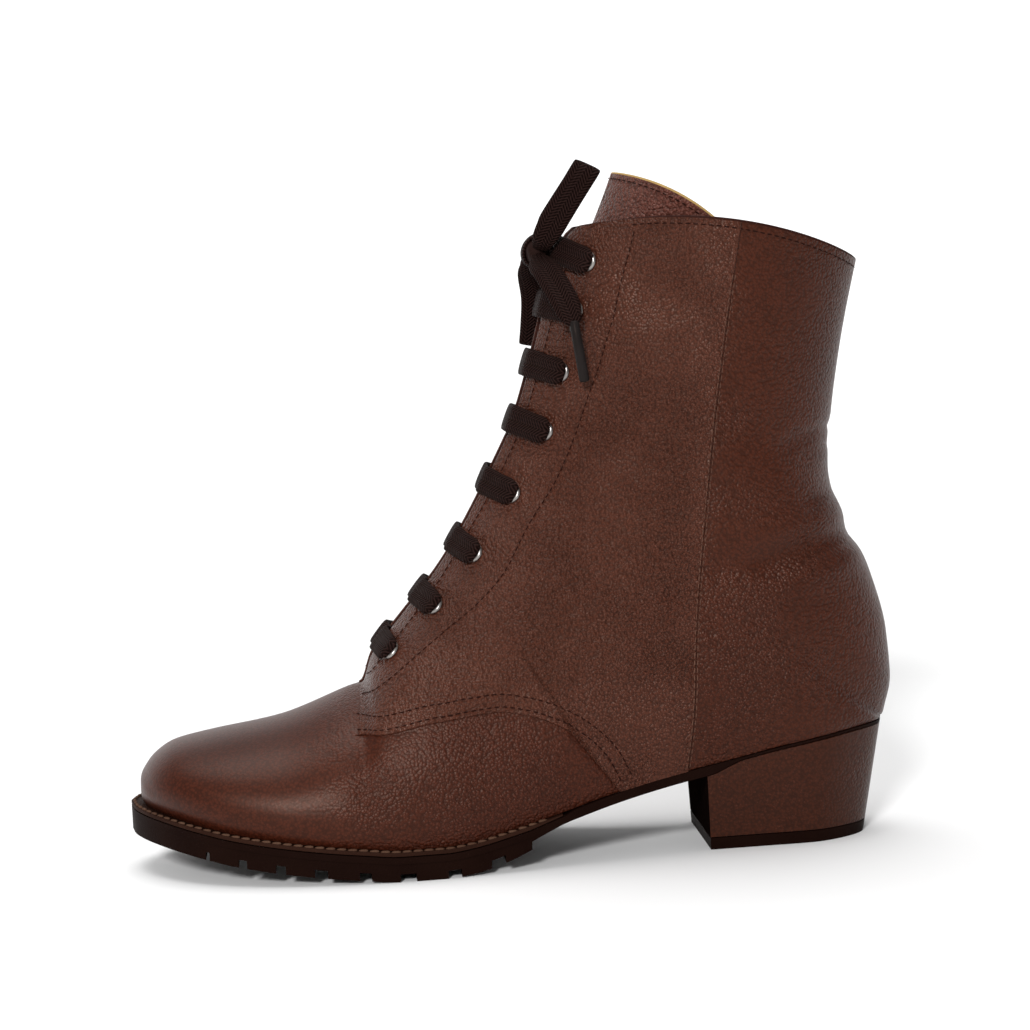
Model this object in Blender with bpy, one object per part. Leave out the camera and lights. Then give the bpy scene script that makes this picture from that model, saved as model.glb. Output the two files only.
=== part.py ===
"""Lace up ankle boot for the left foot, with a covered block heel and a lugged rubber sole.

Lengths are metres. +X points to the toe, +Y to the outer side of the foot and +Z up. The floor is
z = 0, and the origin lies under the middle of the boot as seen from above.

The upper, tongue, insole and sole all come from one last. It is a fan of sections that starts at
the toe, turns round the heel and ends at the collar. Each section runs from the feather line, or
from the back seam, up to the ridge over the instep, once on each side of the foot.
"""

import functools
import math

import bmesh
import bpy
import numpy as np

# Driving sizes of the last
BOOT_LENGTH = 0.279
LAST_WIDTH = 0.092
INSTEP_HEIGHT = 0.0512
SHAFT_HEIGHT = 0.165

# Driving sizes of the sole and heel
HEEL_HEIGHT = 0.0413
TOE_SPRING = 0.0139
SOLE_THICKNESS = 0.0107
LUG_DEPTH = 0.0028
SIDE_STEP = 0.0005
SIDE_STEP_DROP = 0.0044
MIDSOLE_THICKNESS = 0.0014
WELT_LEDGE = 0.0031
WAIST_THICKNESS = 0.0037
SEAT_THICKNESS = 0.0012
TOP_PIECE_THICKNESS = 0.0043
HEEL_TAPER = 0.0040
HEEL_BACK_RAKE = 0.0084
HEEL_FRONT_LEAN = 0.0008

# Driving sizes of the upper and what it holds
UPPER_WALL = 0.0020
PANEL_STEP = 0.0010
THROAT_GAP = 0.012
THROAT_FLARE = 0.004
INSOLE_THICKNESS = 0.0025
TONGUE_THICKNESS = 0.0022
TONGUE_TOP_RISE = 0.0265
TONGUE_GAP = 0.0009
FIT_GAP = 0.0003

# Driving sizes of the lacing
EYELET_RADIUS = 0.0037
EYELET_BORE = 0.0019
EYELET_BARREL_WALL = 0.0004
EYELET_FLANGE = 0.0005
EYELET_INSET = 0.0133
EYELET_FLARE = 0.0033
FIRST_EYELET_DISTANCE = 0.0160
LAST_EYELET_DISTANCE = 0.0072
LACE_WIDTH = 0.0100
LACE_THICKNESS = 0.0016
LACE_EDGE = 0.45
BAR_SAG = 0.0028
KNOT_DEPTH = 0.0094
KNOT_WIDTH = 0.0150
KNOT_HEIGHT = 0.0110
KNOT_FULLNESS = 0.8
AGLET_LENGTH = 0.0205
AGLET_RADIUS = 0.0020

# Places along the fan of sections, counted in rows of the last's table
FACING_FRONT = 7
THROAT_START = 7.35
HEEL_CORNER = 17
COLLAR = 26

# The last, a row for each section. foot and top are the two ends of the section seen from the side:
# their x is a share of BOOT_LENGTH, and their height above the sole line is instep times
# INSTEP_HEIGHT plus shaft times SHAFT_HEIGHT. The widths are shares of LAST_WIDTH. widest is where
# along the section it is widest, crown and round are exponents of its upper and lower part, and
# bow lifts its middle by a share of SHAFT_HEIGHT.
LAST_COLUMNS = (
    "foot_x", "foot_shaft", "top_x", "top_instep", "top_shaft",
    "feather_out", "feather_in", "wide_out", "wide_in", "ridge_y",
    "widest", "crown", "round", "bow",
)
LAST = (
    (0.4835, 0.000, 0.4835, 0.000, 0.000, -0.087, 0.087, -0.087, 0.087, -0.087, 0.35, 2.20, 1.00, 0.000),
    (0.4788, 0.000, 0.4864, 0.074, 0.000, 0.005, 0.179, 0.013, 0.187, -0.087, 0.35, 2.20, 1.00, 0.000),
    (0.4666, 0.000, 0.4856, 0.171, 0.000, 0.098, 0.261, 0.112, 0.275, -0.087, 0.33, 2.20, 1.00, 0.000),
    (0.4469, 0.000, 0.4760, 0.279, 0.000, 0.190, 0.337, 0.209, 0.355, -0.085, 0.30, 2.20, 1.00, 0.000),
    (0.4146, 0.000, 0.4487, 0.425, 0.000, 0.291, 0.404, 0.314, 0.426, -0.083, 0.28, 2.15, 1.00, 0.000),
    (0.3625, 0.000, 0.3877, 0.573, 0.000, 0.391, 0.462, 0.415, 0.484, -0.077, 0.24, 2.05, 1.00, 0.000),
    (0.2907, 0.000, 0.2979, 0.739, 0.000, 0.463, 0.495, 0.487, 0.517, -0.062, 0.20, 1.90, 1.00, 0.000),
    (0.2154, 0.000, 0.1960, 1.000, 0.000, 0.496, 0.500, 0.521, 0.522, -0.038, 0.18, 1.75, 1.00, 0.000),
    (0.1651, 0.000, 0.1741, 1.000, 0.079, 0.500, 0.491, 0.524, 0.511, -0.030, 0.17, 1.62, 1.00, 0.000),
    (0.0933, 0.000, 0.1387, 1.000, 0.155, 0.489, 0.459, 0.513, 0.485, -0.023, 0.17, 1.60, 1.00, 0.000),
    (0.0000, 0.000, 0.1033, 1.000, 0.229, 0.446, 0.391, 0.478, 0.437, -0.019, 0.20, 1.58, 1.00, 0.000),
    (-0.1005, 0.000, 0.0733, 1.000, 0.296, 0.383, 0.332, 0.443, 0.409, -0.015, 0.30, 1.56, 1.00, 0.000),
    (-0.2046, 0.000, 0.0494, 1.000, 0.356, 0.335, 0.307, 0.420, 0.402, -0.011, 0.42, 1.55, 1.05, 0.000),
    (-0.3051, 0.000, 0.0319, 1.000, 0.404, 0.318, 0.311, 0.409, 0.398, -0.007, 0.47, 1.55, 1.15, 0.000),
    (-0.3877, 0.000, 0.0195, 1.000, 0.443, 0.304, 0.302, 0.404, 0.396, -0.003, 0.48, 1.54, 1.35, 0.000),
    (-0.4451, 0.000, 0.0107, 1.000, 0.471, 0.224, 0.222, 0.402, 0.395, 0.000, 0.48, 1.53, 1.60, 0.000),
    (-0.4756, 0.000, 0.0040, 1.000, 0.492, 0.120, 0.120, 0.400, 0.393, 0.000, 0.48, 1.52, 1.80, 0.000),
    (-0.4860, 0.000, -0.0015, 1.000, 0.509, 0.000, 0.000, 0.398, 0.391, 0.000, 0.48, 1.52, 2.00, 0.000),
    (-0.4925, 0.028, -0.0058, 1.000, 0.523, 0.000, 0.000, 0.397, 0.391, 0.000, 0.48, 1.50, 2.00, 0.000),
    (-0.5000, 0.090, -0.0123, 1.000, 0.547, 0.000, 0.000, 0.396, 0.391, 0.000, 0.48, 1.50, 2.00, 0.000),
    (-0.4965, 0.192, -0.0195, 1.000, 0.576, 0.000, 0.000, 0.393, 0.389, 0.000, 0.48, 1.50, 2.00, 0.000),
    (-0.4768, 0.329, -0.0295, 1.000, 0.619, 0.000, 0.000, 0.391, 0.387, 0.000, 0.49, 1.50, 2.00, 0.000),
    (-0.4458, 0.450, -0.0396, 1.000, 0.666, 0.000, 0.000, 0.391, 0.387, 0.000, 0.49, 1.50, 2.00, 0.000),
    (-0.4277, 0.562, -0.0496, 1.000, 0.716, 0.000, 0.000, 0.391, 0.387, 0.000, 0.50, 1.50, 2.00, 0.000),
    (-0.4343, 0.680, -0.0597, 1.000, 0.772, 0.000, 0.000, 0.395, 0.391, 0.000, 0.50, 1.50, 2.00, 0.007),
    (-0.4494, 0.829, -0.0733, 1.000, 0.839, 0.000, 0.000, 0.400, 0.397, 0.000, 0.50, 1.50, 2.00, 0.024),
    (-0.4742, 1.006, -0.0945, 1.000, 0.905, 0.000, 0.000, 0.405, 0.402, 0.000, 0.50, 1.50, 2.00, 0.052),
    (-0.4990, 1.156, -0.1358, 1.000, 1.023, 0.000, 0.000, 0.413, 0.413, 0.000, 0.50, 1.50, 2.00, 0.050),
)

# The sole line is the top of the sole along the foot: at x, a share of BOOT_LENGTH, it rises above
# its lowest stretch by toe times TOE_SPRING plus heel times the rise to the heel seat.
SOLE_LINE_COLUMNS = ("x", "toe", "heel")
SOLE_LINE = (
    (-0.520, 0.000, 1.000),
    (-0.480, 0.000, 0.998),
    (-0.445, 0.000, 0.985),
    (-0.348, 0.000, 0.860),
    (-0.260, 0.000, 0.705),
    (-0.208, 0.000, 0.615),
    (-0.125, 0.000, 0.455),
    (-0.047, 0.000, 0.268),
    (0.018, 0.000, 0.122),
    (0.065, 0.000, 0.034),
    (0.100, 0.000, 0.000),
    (0.158, 0.000, 0.000),
    (0.200, 0.080, 0.000),
    (0.250, 0.187, 0.000),
    (0.305, 0.330, 0.000),
    (0.370, 0.530, 0.000),
    (0.410, 0.690, 0.000),
    (0.460, 0.885, 0.000),
    (0.500, 1.000, 0.000),
    (0.520, 1.050, 0.000),
)

# How far the sole stands out from the feather line, as shares of WELT_LEDGE, along the fan
LEDGE_COLUMNS = ("section", "ledge")
LEDGE = (
    (0, 1.50),
    (3, 1.38),
    (5, 1.15),
    (7, 1.00),
    (8, 1.00),
    (9, 0.95),
    (10, 0.80),
    (11, 0.45),
    (12, 0.15),
    (17, 0.05),
)

# Thickness of the outsole to the ground between its lugs: nought is SEAT_THICKNESS, waist adds the
# step to WAIST_THICKNESS and core the step from there to the forefoot
LAYER_COLUMNS = ("x", "waist", "core")
LAYER = (
    (-0.520, 0.00, 0.00),
    (-0.290, 0.00, 0.00),
    (-0.240, 1.00, 0.00),
    (-0.060, 1.00, 0.00),
    (-0.030, 1.00, 0.24),
    (-0.0085, 1.00, 0.52),
    (0.020, 1.00, 0.85),
    (0.050, 1.00, 1.00),
    (0.520, 1.00, 1.00),
)

# Grooves between the lugs, from the front one backwards, as shares of BOOT_LENGTH
GROOVE_COLUMNS = ("front", "back")
GROOVES = (
    (0.4005, 0.3957),
    (0.3593, 0.3491),
    (0.3130, 0.3007),
    (0.2650, 0.2487),
    (0.2094, 0.1946),
    (0.1589, 0.1387),
    (0.0987, 0.0821),
    (0.0439, 0.0258),
)

# The lower edge of the quarter where it crosses the vamp: x as shares of BOOT_LENGTH, and the
# height above the sole line as shares of INSTEP_HEIGHT
VAMP_SEAM_COLUMNS = ("x", "height")
VAMP_SEAM = (
    (-0.126, -0.02),
    (-0.104, 0.266),
    (-0.074, 0.483),
    (-0.048, 0.614),
    (-0.007, 0.755),
    (0.030, 0.830),
    (0.068, 0.847),
    (0.101, 0.841),
    (0.142, 0.798),
    (0.177, 0.760),
    (0.205, 0.735),
    (0.300, 0.700),
)
VAMP_SEAM_END = -0.1245

# The seam between quarter and rear panel: height above the sole line as shares of SHAFT_HEIGHT,
# and x as shares of BOOT_LENGTH
REAR_SEAM_COLUMNS = ("height", "x")
REAR_SEAM = (
    (0.000, -0.214),
    (0.130, -0.224),
    (0.280, -0.229),
    (0.430, -0.239),
    (0.574, -0.2505),
    (0.740, -0.2645),
    (0.955, -0.2865),
    (1.140, -0.3080),
)

# Places along the sole, as shares of BOOT_LENGTH
MIDSOLE_END = -0.050
TREAD_END = -0.0085
HEEL_BREAST = -0.2390

# The tongue: where it starts under the vamp, then along the fan its half width, how far its middle
# sinks below the lining and how much further its sides do, all as shares of LAST_WIDTH
TONGUE_START = 6.75
TONGUE_COLUMNS = ("section", "half_width", "sink", "inset")
TONGUE = (
    (6.75, 0.11, 0.014, 0.000),
    (7.5, 0.13, 0.014, 0.000),
    (9.5, 0.16, 0.000, 0.000),
    (12, 0.21, 0.000, 0.000),
    (17, 0.30, 0.000, 0.000),
    (22, 0.46, 0.010, 0.000),
    (25, 0.69, 0.050, 0.000),
    (27, 0.78, 0.085, 0.000),
)

# Widths of a lace bar, as shares of LACE_WIDTH, from the throat outwards to the eyelet's middle, and
# its clearance and ramp at the eyelet as multiples of FIT_GAP
BAR_WIDTHS = (1.00, 0.97, 0.93, 0.80, 0.48)
BAR_CLEAR = 3.5
BAR_RAMP = 5

# Shares of its rise at the rows of the tongue above the collar
TONGUE_RISES = (0.40, 0.75, 1.00)

# Places of the eyelets, as shares of the way from the first to the last
EYELET_PLACES = (0.000, 0.141, 0.288, 0.443, 0.596, 0.731, 0.871, 1.000)

# Middle lines of the bow's loops and ends, from the middle of the knot: forward from the throat, out
# towards the outer side and up along the throat, with the width there, all as shares of LACE_WIDTH
BOW_COLUMNS = ("forward", "out", "up", "width")
LOOP_UP = (
    (-0.02, 0.79, 0.12, 0.60),
    (0.02, 1.20, 0.34, 0.80),
    (-0.02, 1.46, 0.95, 1.00),
    (-0.12, 1.56, 1.80, 1.00),
    (-0.25, 1.56, 2.70, 1.00),
    (-0.34, 1.50, 3.28, 1.00),
    (-0.36, 1.36, 3.44, 1.00),
    (-0.34, 1.22, 3.28, 1.00),
    (-0.25, 1.19, 2.60, 1.00),
    (-0.12, 1.20, 1.80, 1.00),
    (-0.02, 1.14, 1.12, 1.00),
    (0.02, 0.98, 0.68, 0.80),
    (0.02, 0.79, 0.39, 0.55),
)
LOOP_DOWN = (
    (-0.02, -0.79, -0.12, 0.60),
    (-0.10, -1.35, -0.35, 0.85),
    (-0.40, -1.98, -0.85, 1.00),
    (-0.84, -2.42, -1.62, 1.00),
    (-1.18, -2.58, -2.45, 1.00),
    (-1.36, -2.54, -2.98, 1.00),
    (-1.41, -2.40, -3.14, 1.00),
    (-1.35, -2.26, -2.98, 1.00),
    (-1.14, -2.22, -2.35, 1.00),
    (-0.80, -2.06, -1.60, 1.00),
    (-0.40, -1.62, -1.02, 1.00),
    (-0.10, -1.14, -0.70, 0.80),
    (0.02, -0.79, -0.39, 0.55),
)
TAIL_OUT = (
    (-0.05, 0.79, -0.24, 0.45),
    (-0.20, 1.32, -0.42, 0.90),
    (-0.46, 1.84, -0.58, 1.00),
    (-0.80, 2.24, -0.84, 1.00),
    (-1.18, 2.56, -1.14, 1.00),
    (-1.60, 2.80, -1.51, 0.95),
    (-1.90, 2.90, -1.80, 0.70),
    (-2.03, 2.93, -1.94, 0.42),
)
TAIL_IN = (
    (-0.08, -0.79, 0.18, 0.45),
    (-0.42, -1.60, 0.22, 0.90),
    (-0.95, -2.45, 0.00, 1.00),
    (-1.60, -2.92, -0.55, 1.00),
    (-2.15, -3.08, -1.25, 1.00),
    (-2.55, -3.12, -1.85, 0.95),
    (-2.72, -3.13, -2.25, 0.70),
    (-2.78, -3.13, -2.43, 0.42),
)

# The way the width of each bow piece points, as parts forward and up
LOOP_UP_WAY = (1.0, 0.0)
LOOP_DOWN_WAY = (1.0, -0.30)
TAIL_OUT_WAY = (0.63, -0.78)
TAIL_IN_WAY = (0.80, -0.60)

# Steps between the rows of the upper's faces, counted in sections, from each section on
ROW_COLUMNS = ("section", "step")
ROW_STEPS = (
    (0, 0.50),
    (7, 0.70),
    (10, 0.30),
    (12, 0.85),
    (15, 0.40),
    (19, 0.80),
)

# How the corner that the feet turn at the heel is rounded off further up
EASE_SPREAD = 3.0
EASE_REACH = 1.8
EASE_FULL = 0.45

# Lengths of the sole's rounded ends and the distance between its stations along x
HEEL_ROUND = 0.030
TOE_ROUND = 0.027
SOLE_STATION = 0.0095
STATION_CLEAR = 0.25
HEEL_STATION = 0.0120
SKIVE_LENGTH = 0.012
SKIVE_SHARE = 0.45
SKIVE_STEPS = 3
LEAST_STEP_SHARE = 0.35
HOLE_REACH = 0.0045
TONGUE_LEAN = 0.05
TONGUE_PEAK = 1.4
KNOT_DROP = 0.003
AGLET_HANG = 1.2

# How far apart the last is sampled for its normals: a distance across and a part of a section
NORMAL_REACH = 0.0015
NORMAL_STEP = 0.08

# The bands of the upper between its feather line, the quarter's edge, the throat and the ridge
BANDS = ("low", "high", "strip")

# Numbers of mesh steps
SECTION_SAMPLES = 121
LOW_COLUMNS = 6
LOW_SPREAD = 1.25
HIGH_SPREAD = 1.35
HIGH_COLUMNS = 8
STRIP_COLUMNS = 1
RING_SIDES = 8
ROUND_STEPS = 6
TONGUE_ROWS = 16
TONGUE_SPREAD = 1.5
TONGUE_COLUMN_COUNT = 8
BOW_STATIONS = 15
KNOT_RINGS = 7
KNOT_SIDES = 10


@functools.lru_cache(maxsize=None)
def column(table, names, name):
    """One named column of a table, as an array."""
    return np.array([row[names.index(name)] for row in table], dtype=float)


def smooth(xs, ys, x):
    """A smooth curve through the points that never overshoots between two of them."""
    xs = np.asarray(xs, dtype=float)
    ys = np.asarray(ys, dtype=float)
    steps = np.diff(xs)
    rates = np.diff(ys) / steps
    slopes = np.zeros(len(xs))
    slopes[0] = rates[0]
    slopes[-1] = rates[-1]
    before = rates[:-1]
    after = rates[1:]
    same_way = before * after > 0
    low_weight = 2 * steps[1:] + steps[:-1]
    high_weight = steps[1:] + 2 * steps[:-1]
    safe_before = np.where(same_way, before, 1.0)
    safe_after = np.where(same_way, after, 1.0)
    mean = (low_weight + high_weight) / (low_weight / safe_before + high_weight / safe_after)
    slopes[1:-1] = np.where(same_way, mean, 0.0)
    x = np.asarray(x, dtype=float)
    index = np.clip(np.searchsorted(xs, x) - 1, 0, len(xs) - 2)
    width = steps[index]
    t = (x - xs[index]) / width
    t = np.clip(t, 0.0, 1.0)
    start = ys[index] * (1 + 2 * t) * (1 - t) ** 2 + slopes[index] * width * t * (1 - t) ** 2
    end = ys[index + 1] * t ** 2 * (3 - 2 * t) - slopes[index + 1] * width * t ** 2 * (1 - t)
    return start + end


def sole_line(x):
    """Height of the sole's top line at x."""
    share = np.asarray(x, dtype=float) / BOOT_LENGTH
    places = column(SOLE_LINE, SOLE_LINE_COLUMNS, "x")
    toe = smooth(places, column(SOLE_LINE, SOLE_LINE_COLUMNS, "toe"), share)
    heel = smooth(places, column(SOLE_LINE, SOLE_LINE_COLUMNS, "heel"), share)
    return SOLE_THICKNESS + toe * TOE_SPRING + heel * (HEEL_HEIGHT - SOLE_THICKNESS)


@functools.lru_cache(maxsize=None)
def last_values(section):
    """Every column of the last's table at a section number, whole or not."""
    numbers = np.arange(len(LAST))
    return {
        name: float(smooth(numbers, column(LAST, LAST_COLUMNS, name), section))
        for name in LAST_COLUMNS
    }


def foot_places(sections):
    """x and z of the feet of these sections."""
    numbers = np.arange(len(LAST))
    x = smooth(numbers, column(LAST, LAST_COLUMNS, "foot_x"), sections) * BOOT_LENGTH
    shaft = smooth(numbers, column(LAST, LAST_COLUMNS, "foot_shaft"), sections)
    return x, sole_line(x) + shaft * SHAFT_HEIGHT


def eased_feet(section, along):
    """The foot's x and z as seen from each place along a section.

    The feet turn a corner at the heel. Further up the section that corner is rounded off, so that
    the side of the boot has no crease above it.
    """
    near_corner = math.exp(-(((section - HEEL_CORNER) / EASE_SPREAD) ** 2))
    reach = EASE_REACH * near_corner * np.clip(along / EASE_FULL, 0, 1) ** 2
    offsets = np.linspace(-1, 1, 9)
    sections = section + reach[:, None] * offsets[None, :]
    x, z = foot_places(sections)
    return x.mean(axis=1), z.mean(axis=1)


@functools.lru_cache(maxsize=None)
def section_line(section, side):
    """Points of one side of a section, from its foot to its ridge, and the length along them."""
    row = last_values(section)
    along = 0.5 - 0.5 * np.cos(np.pi * np.linspace(0, 1, SECTION_SAMPLES))
    foot_x, foot_z = eased_feet(section, along)
    top_x = row["top_x"] * BOOT_LENGTH
    top_z = sole_line(top_x) + row["top_instep"] * INSTEP_HEIGHT + row["top_shaft"] * SHAFT_HEIGHT
    hand = "out" if side > 0 else "in"
    feather = row["feather_" + hand] * LAST_WIDTH
    wide = row["wide_" + hand] * LAST_WIDTH
    ridge = side * row["ridge_y"] * LAST_WIDTH
    low = np.clip(along / row["widest"], 0, 1)
    high = np.clip((along - row["widest"]) / (1 - row["widest"]), 0, 1)
    below = feather + (wide - feather) * (1 - (1 - low) ** 2) ** (1 / row["round"])
    above = ridge + (wide - ridge) * (1 - high ** 2) ** (1 / row["crown"])
    points = np.empty((SECTION_SAMPLES, 3))
    points[:, 0] = foot_x + along * (top_x - foot_x)
    points[:, 1] = side * np.where(along < row["widest"], below, above)
    bow = row["bow"] * SHAFT_HEIGHT * 4 * along * (1 - along)
    points[:, 2] = foot_z + along * (top_z - foot_z) + bow
    lengths = np.concatenate([[0], np.cumsum(np.linalg.norm(np.diff(points, axis=0), axis=1))])
    return points, lengths


def at_length(points, lengths, wanted):
    """The point at a length along a section."""
    return np.array([np.interp(wanted, lengths, points[:, axis]) for axis in range(3)]).T


def last_point(section, side, from_ridge):
    """The point of the last at a distance from the ridge, along one side of a section."""
    points, lengths = section_line(section, side)
    return at_length(points, lengths, lengths[-1] - from_ridge)


@functools.lru_cache(maxsize=None)
def last_at(section, across):
    """The last's point at a distance across from the ridge, above nought on the outer side."""
    return last_point(section, 1 if across >= 0 else -1, abs(across))


def unit(vector):
    return vector / np.linalg.norm(vector)


def above_last(section, across, height):
    """The point at this height above the last, and the outward normal there."""
    sideways = last_at(section, across + NORMAL_REACH) - last_at(section, across - NORMAL_REACH)
    onwards = last_at(section + NORMAL_STEP, across) - last_at(section - NORMAL_STEP, across)
    normal = unit(np.cross(sideways, onwards))
    return last_at(section, across) + normal * height, normal


def throat_direction(section):
    """Unit direction up the middle of the throat."""
    return unit(last_at(section + 0.2, 0.0) - last_at(section - 0.2, 0.0))


@functools.lru_cache(maxsize=None)
def section_across(section, across):
    """The section that lies straight across from the ridge of another, at a distance from it."""
    ridge = last_at(section, 0.0)
    direction = throat_direction(section)
    near = section + np.linspace(-2, 2, 17)
    ahead = [np.dot(last_at(float(number), across) - ridge, direction) for number in near]
    return float(np.interp(0, ahead, near))


def straight_across(section, across, height):
    """As above_last, but measured straight across the throat from the ridge of a section."""
    return above_last(section_across(section, across), across, height)


def half_gap(section):
    """Half the width of the throat between the facings, which flares towards the collar."""
    share = np.clip((section - THROAT_START) / (COLLAR - THROAT_START), 0, 1)
    return THROAT_GAP / 2 + THROAT_FLARE / 2 * share ** 2


def height_above_sole(points):
    return points[:, 2] - sole_line(points[:, 0])


def vamp_side(points):
    """Below nought where a point is under the quarter's lower edge."""
    places = column(VAMP_SEAM, VAMP_SEAM_COLUMNS, "x") * BOOT_LENGTH
    heights = column(VAMP_SEAM, VAMP_SEAM_COLUMNS, "height") * INSTEP_HEIGHT
    return height_above_sole(points) - smooth(places, heights, points[:, 0])


def rear_side(points):
    """Below nought where a point is behind the rear panel's seam."""
    heights = column(REAR_SEAM, REAR_SEAM_COLUMNS, "height") * SHAFT_HEIGHT
    places = column(REAR_SEAM, REAR_SEAM_COLUMNS, "x") * BOOT_LENGTH
    return points[:, 0] - smooth(heights, places, height_above_sole(points))


def crossing(section, side, sign_of):
    """Share of a section's length, from its foot, where a seam crosses it."""
    points, lengths = section_line(section, side)
    signs = sign_of(points)
    if signs[0] >= 0:
        return 0.0
    first = int(np.argmax(signs >= 0))
    part = signs[first - 1] / (signs[first - 1] - signs[first])
    return float((lengths[first - 1] + part * (lengths[first] - lengths[first - 1])) / lengths[-1])


def section_at_foot(x):
    """The section whose foot stands at x on the feather line."""
    sections = np.linspace(0, HEEL_CORNER, 600)
    feet = smooth(np.arange(len(LAST)), column(LAST, LAST_COLUMNS, "foot_x"), sections) * BOOT_LENGTH
    return float(np.interp(-x, -feet, sections))


def rear_seam_foot():
    return REAR_SEAM[0][REAR_SEAM_COLUMNS.index("x")] * BOOT_LENGTH


def panel_edge(section, side):
    """Share along a section of the seam that it crosses: the vamp's in front, the rear panel's behind."""
    vamp_end = section_at_foot(VAMP_SEAM_END * BOOT_LENGTH)
    rear_start = section_at_foot(rear_seam_foot())
    if section <= FACING_FRONT:
        return crossing(FACING_FRONT, side, vamp_side)
    if section < vamp_end:
        return crossing(section, side, vamp_side)
    if section <= rear_start:
        return 0.0
    return crossing(section, side, rear_side)


def mesh_rows():
    """Section numbers of the upper's rows of faces, through each place where a seam starts or ends."""
    fixed = [
        0.0,
        float(FACING_FRONT),
        THROAT_START,
        section_at_foot(VAMP_SEAM_END * BOOT_LENGTH),
        section_at_foot(rear_seam_foot()),
        float(HEEL_CORNER),
        float(COLLAR),
    ]
    places = column(ROW_STEPS, ROW_COLUMNS, "section")
    steps = column(ROW_STEPS, ROW_COLUMNS, "step")
    fine = np.linspace(0, COLLAR, 20 * COLLAR + 1)
    counted = np.concatenate([[0], np.cumsum(np.diff(fine) / np.interp(fine[1:], places, steps))])
    rows = []
    for start, end in zip(fixed[:-1], fixed[1:]):
        first, last = np.interp([start, end], fine, counted)
        count = max(1, round(last - first))
        wanted = np.linspace(first, last, count + 1)[:-1]
        rows += [start] + [float(number) for number in np.interp(wanted[1:], counted, fine)]
    return rows + [fixed[-1]]


class Surface:
    """A mesh under construction, which makes one vertex of all points that coincide."""

    def __init__(self):
        self.points = []
        self.found = {}
        self.faces = []

    def vertex(self, point):
        key = tuple(round(float(value) * 1e6) for value in point)
        if key not in self.found:
            self.found[key] = len(self.points)
            self.points.append([float(value) for value in point])
        return self.found[key]

    def face(self, corners, flip=False):
        """Adds a face through these points, less the corners that coincide."""
        indices = []
        for corner in corners:
            index = self.vertex(corner)
            if index not in indices:
                indices.append(index)
        if len(indices) > 2:
            self.faces.append(indices[::-1] if flip else indices)

    def grid(self, rows, flip=False):
        """Adds the faces between rows of equally many points."""
        for near, far in zip(rows[:-1], rows[1:]):
            for i in range(len(near) - 1):
                self.face([near[i], near[i + 1], far[i + 1], far[i]], flip)

    def normals(self):
        """A unit normal for each vertex, the mean of its faces' normals."""
        points = np.array(self.points)
        totals = np.zeros_like(points)
        for face in self.faces:
            corners = points[face]
            around = np.roll(corners, -1, axis=0)
            area = np.cross(corners, around).sum(axis=0)
            for index in face:
                totals[index] += area
        lengths = np.linalg.norm(totals, axis=1)
        return totals / np.maximum(lengths, 1e-12)[:, None]


def material(name, colour, roughness, metallic=0.0):
    made = bpy.data.materials.new(name)
    made.use_nodes = True
    shader = made.node_tree.nodes["Principled BSDF"]
    shader.inputs["Base Color"].default_value = (*colour, 1.0)
    shader.inputs["Roughness"].default_value = roughness
    shader.inputs["Metallic"].default_value = metallic
    made.diffuse_color = (*colour, 1.0)
    return made


def add_object(name, data, finish, parent):
    made = bpy.data.objects.new(name, data)
    made.data.materials.append(finish)
    bpy.context.scene.collection.objects.link(made)
    made.parent = parent
    return made


def add_mesh(name, surface, finish, parent, sharp_degrees=40):
    """An object from a finished surface, its faces turned outwards and its round stretches smooth."""
    mesh = bpy.data.meshes.new(name)
    mesh.from_pydata(surface.points, [], surface.faces)
    work = bmesh.new()
    work.from_mesh(mesh)
    bmesh.ops.recalc_face_normals(work, faces=work.faces)
    work.to_mesh(mesh)
    work.free()
    mesh.shade_smooth()
    mesh.set_sharp_from_angle(angle=math.radians(sharp_degrees))
    return add_object(name, mesh, finish, parent)


def base_rows(sections):
    """Points of the last for each row of the upper: on each side the low, high and strip columns."""
    rows = []
    for section in sections:
        row = {}
        for side in (1, -1):
            points, lengths = section_line(section, side)
            total = lengths[-1]
            edge = panel_edge(section, side) * total
            gap = total - min(half_gap(section), total / 2)
            low = min(edge, gap) * np.linspace(0, 1, LOW_COLUMNS + 1) ** LOW_SPREAD
            rise = 1 - (1 - np.linspace(0, 1, HIGH_COLUMNS + 1)) ** HIGH_SPREAD
            high = min(edge, gap) + (gap - min(edge, gap)) * rise
            strip = np.linspace(gap, total, STRIP_COLUMNS + 1)
            row[side] = {
                "low": at_length(points, lengths, low),
                "high": at_length(points, lengths, high),
                "strip": at_length(points, lengths, strip),
            }
        rows.append(row)
    return rows


def last_normals(rows):
    """A function that gives the last's outward normal at any point of these rows."""
    surface = Surface()
    for side in (1, -1):
        for name in BANDS:
            surface.grid([row[side][name] for row in rows], flip=side < 0)
    normals = surface.normals()
    middle = np.mean(surface.points, axis=0)
    outwards = np.sum(normals * (np.array(surface.points) - middle), axis=1)
    if np.sum(outwards) < 0:
        normals = -normals
    return lambda points: np.array([normals[surface.vertex(point)] for point in points])


def moved_rows(rows, sections, normal_at, distance):
    """The rows moved along the last's normals. What stands on the sole stays on it."""
    moved = []
    for row, section in zip(rows, sections):
        new_row = {}
        for side in (1, -1):
            new_row[side] = {}
            lowest = row[side]["low"][0]
            for name in BANDS:
                points = row[side][name]
                normals = normal_at(points)
                foot = np.array([section <= HEEL_CORNER and np.allclose(p, lowest) for p in points])
                flat = normals * np.array([1.0, 1.0, 0.0])
                flat /= np.maximum(np.linalg.norm(flat, axis=1), 1e-9)[:, None]
                normals = np.where(foot[:, None], flat, normals)
                placed = points + normals * distance
                placed[foot, 2] = sole_line(placed[foot, 0])
                new_row[side][name] = placed
        moved.append(new_row)
    return moved


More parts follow.
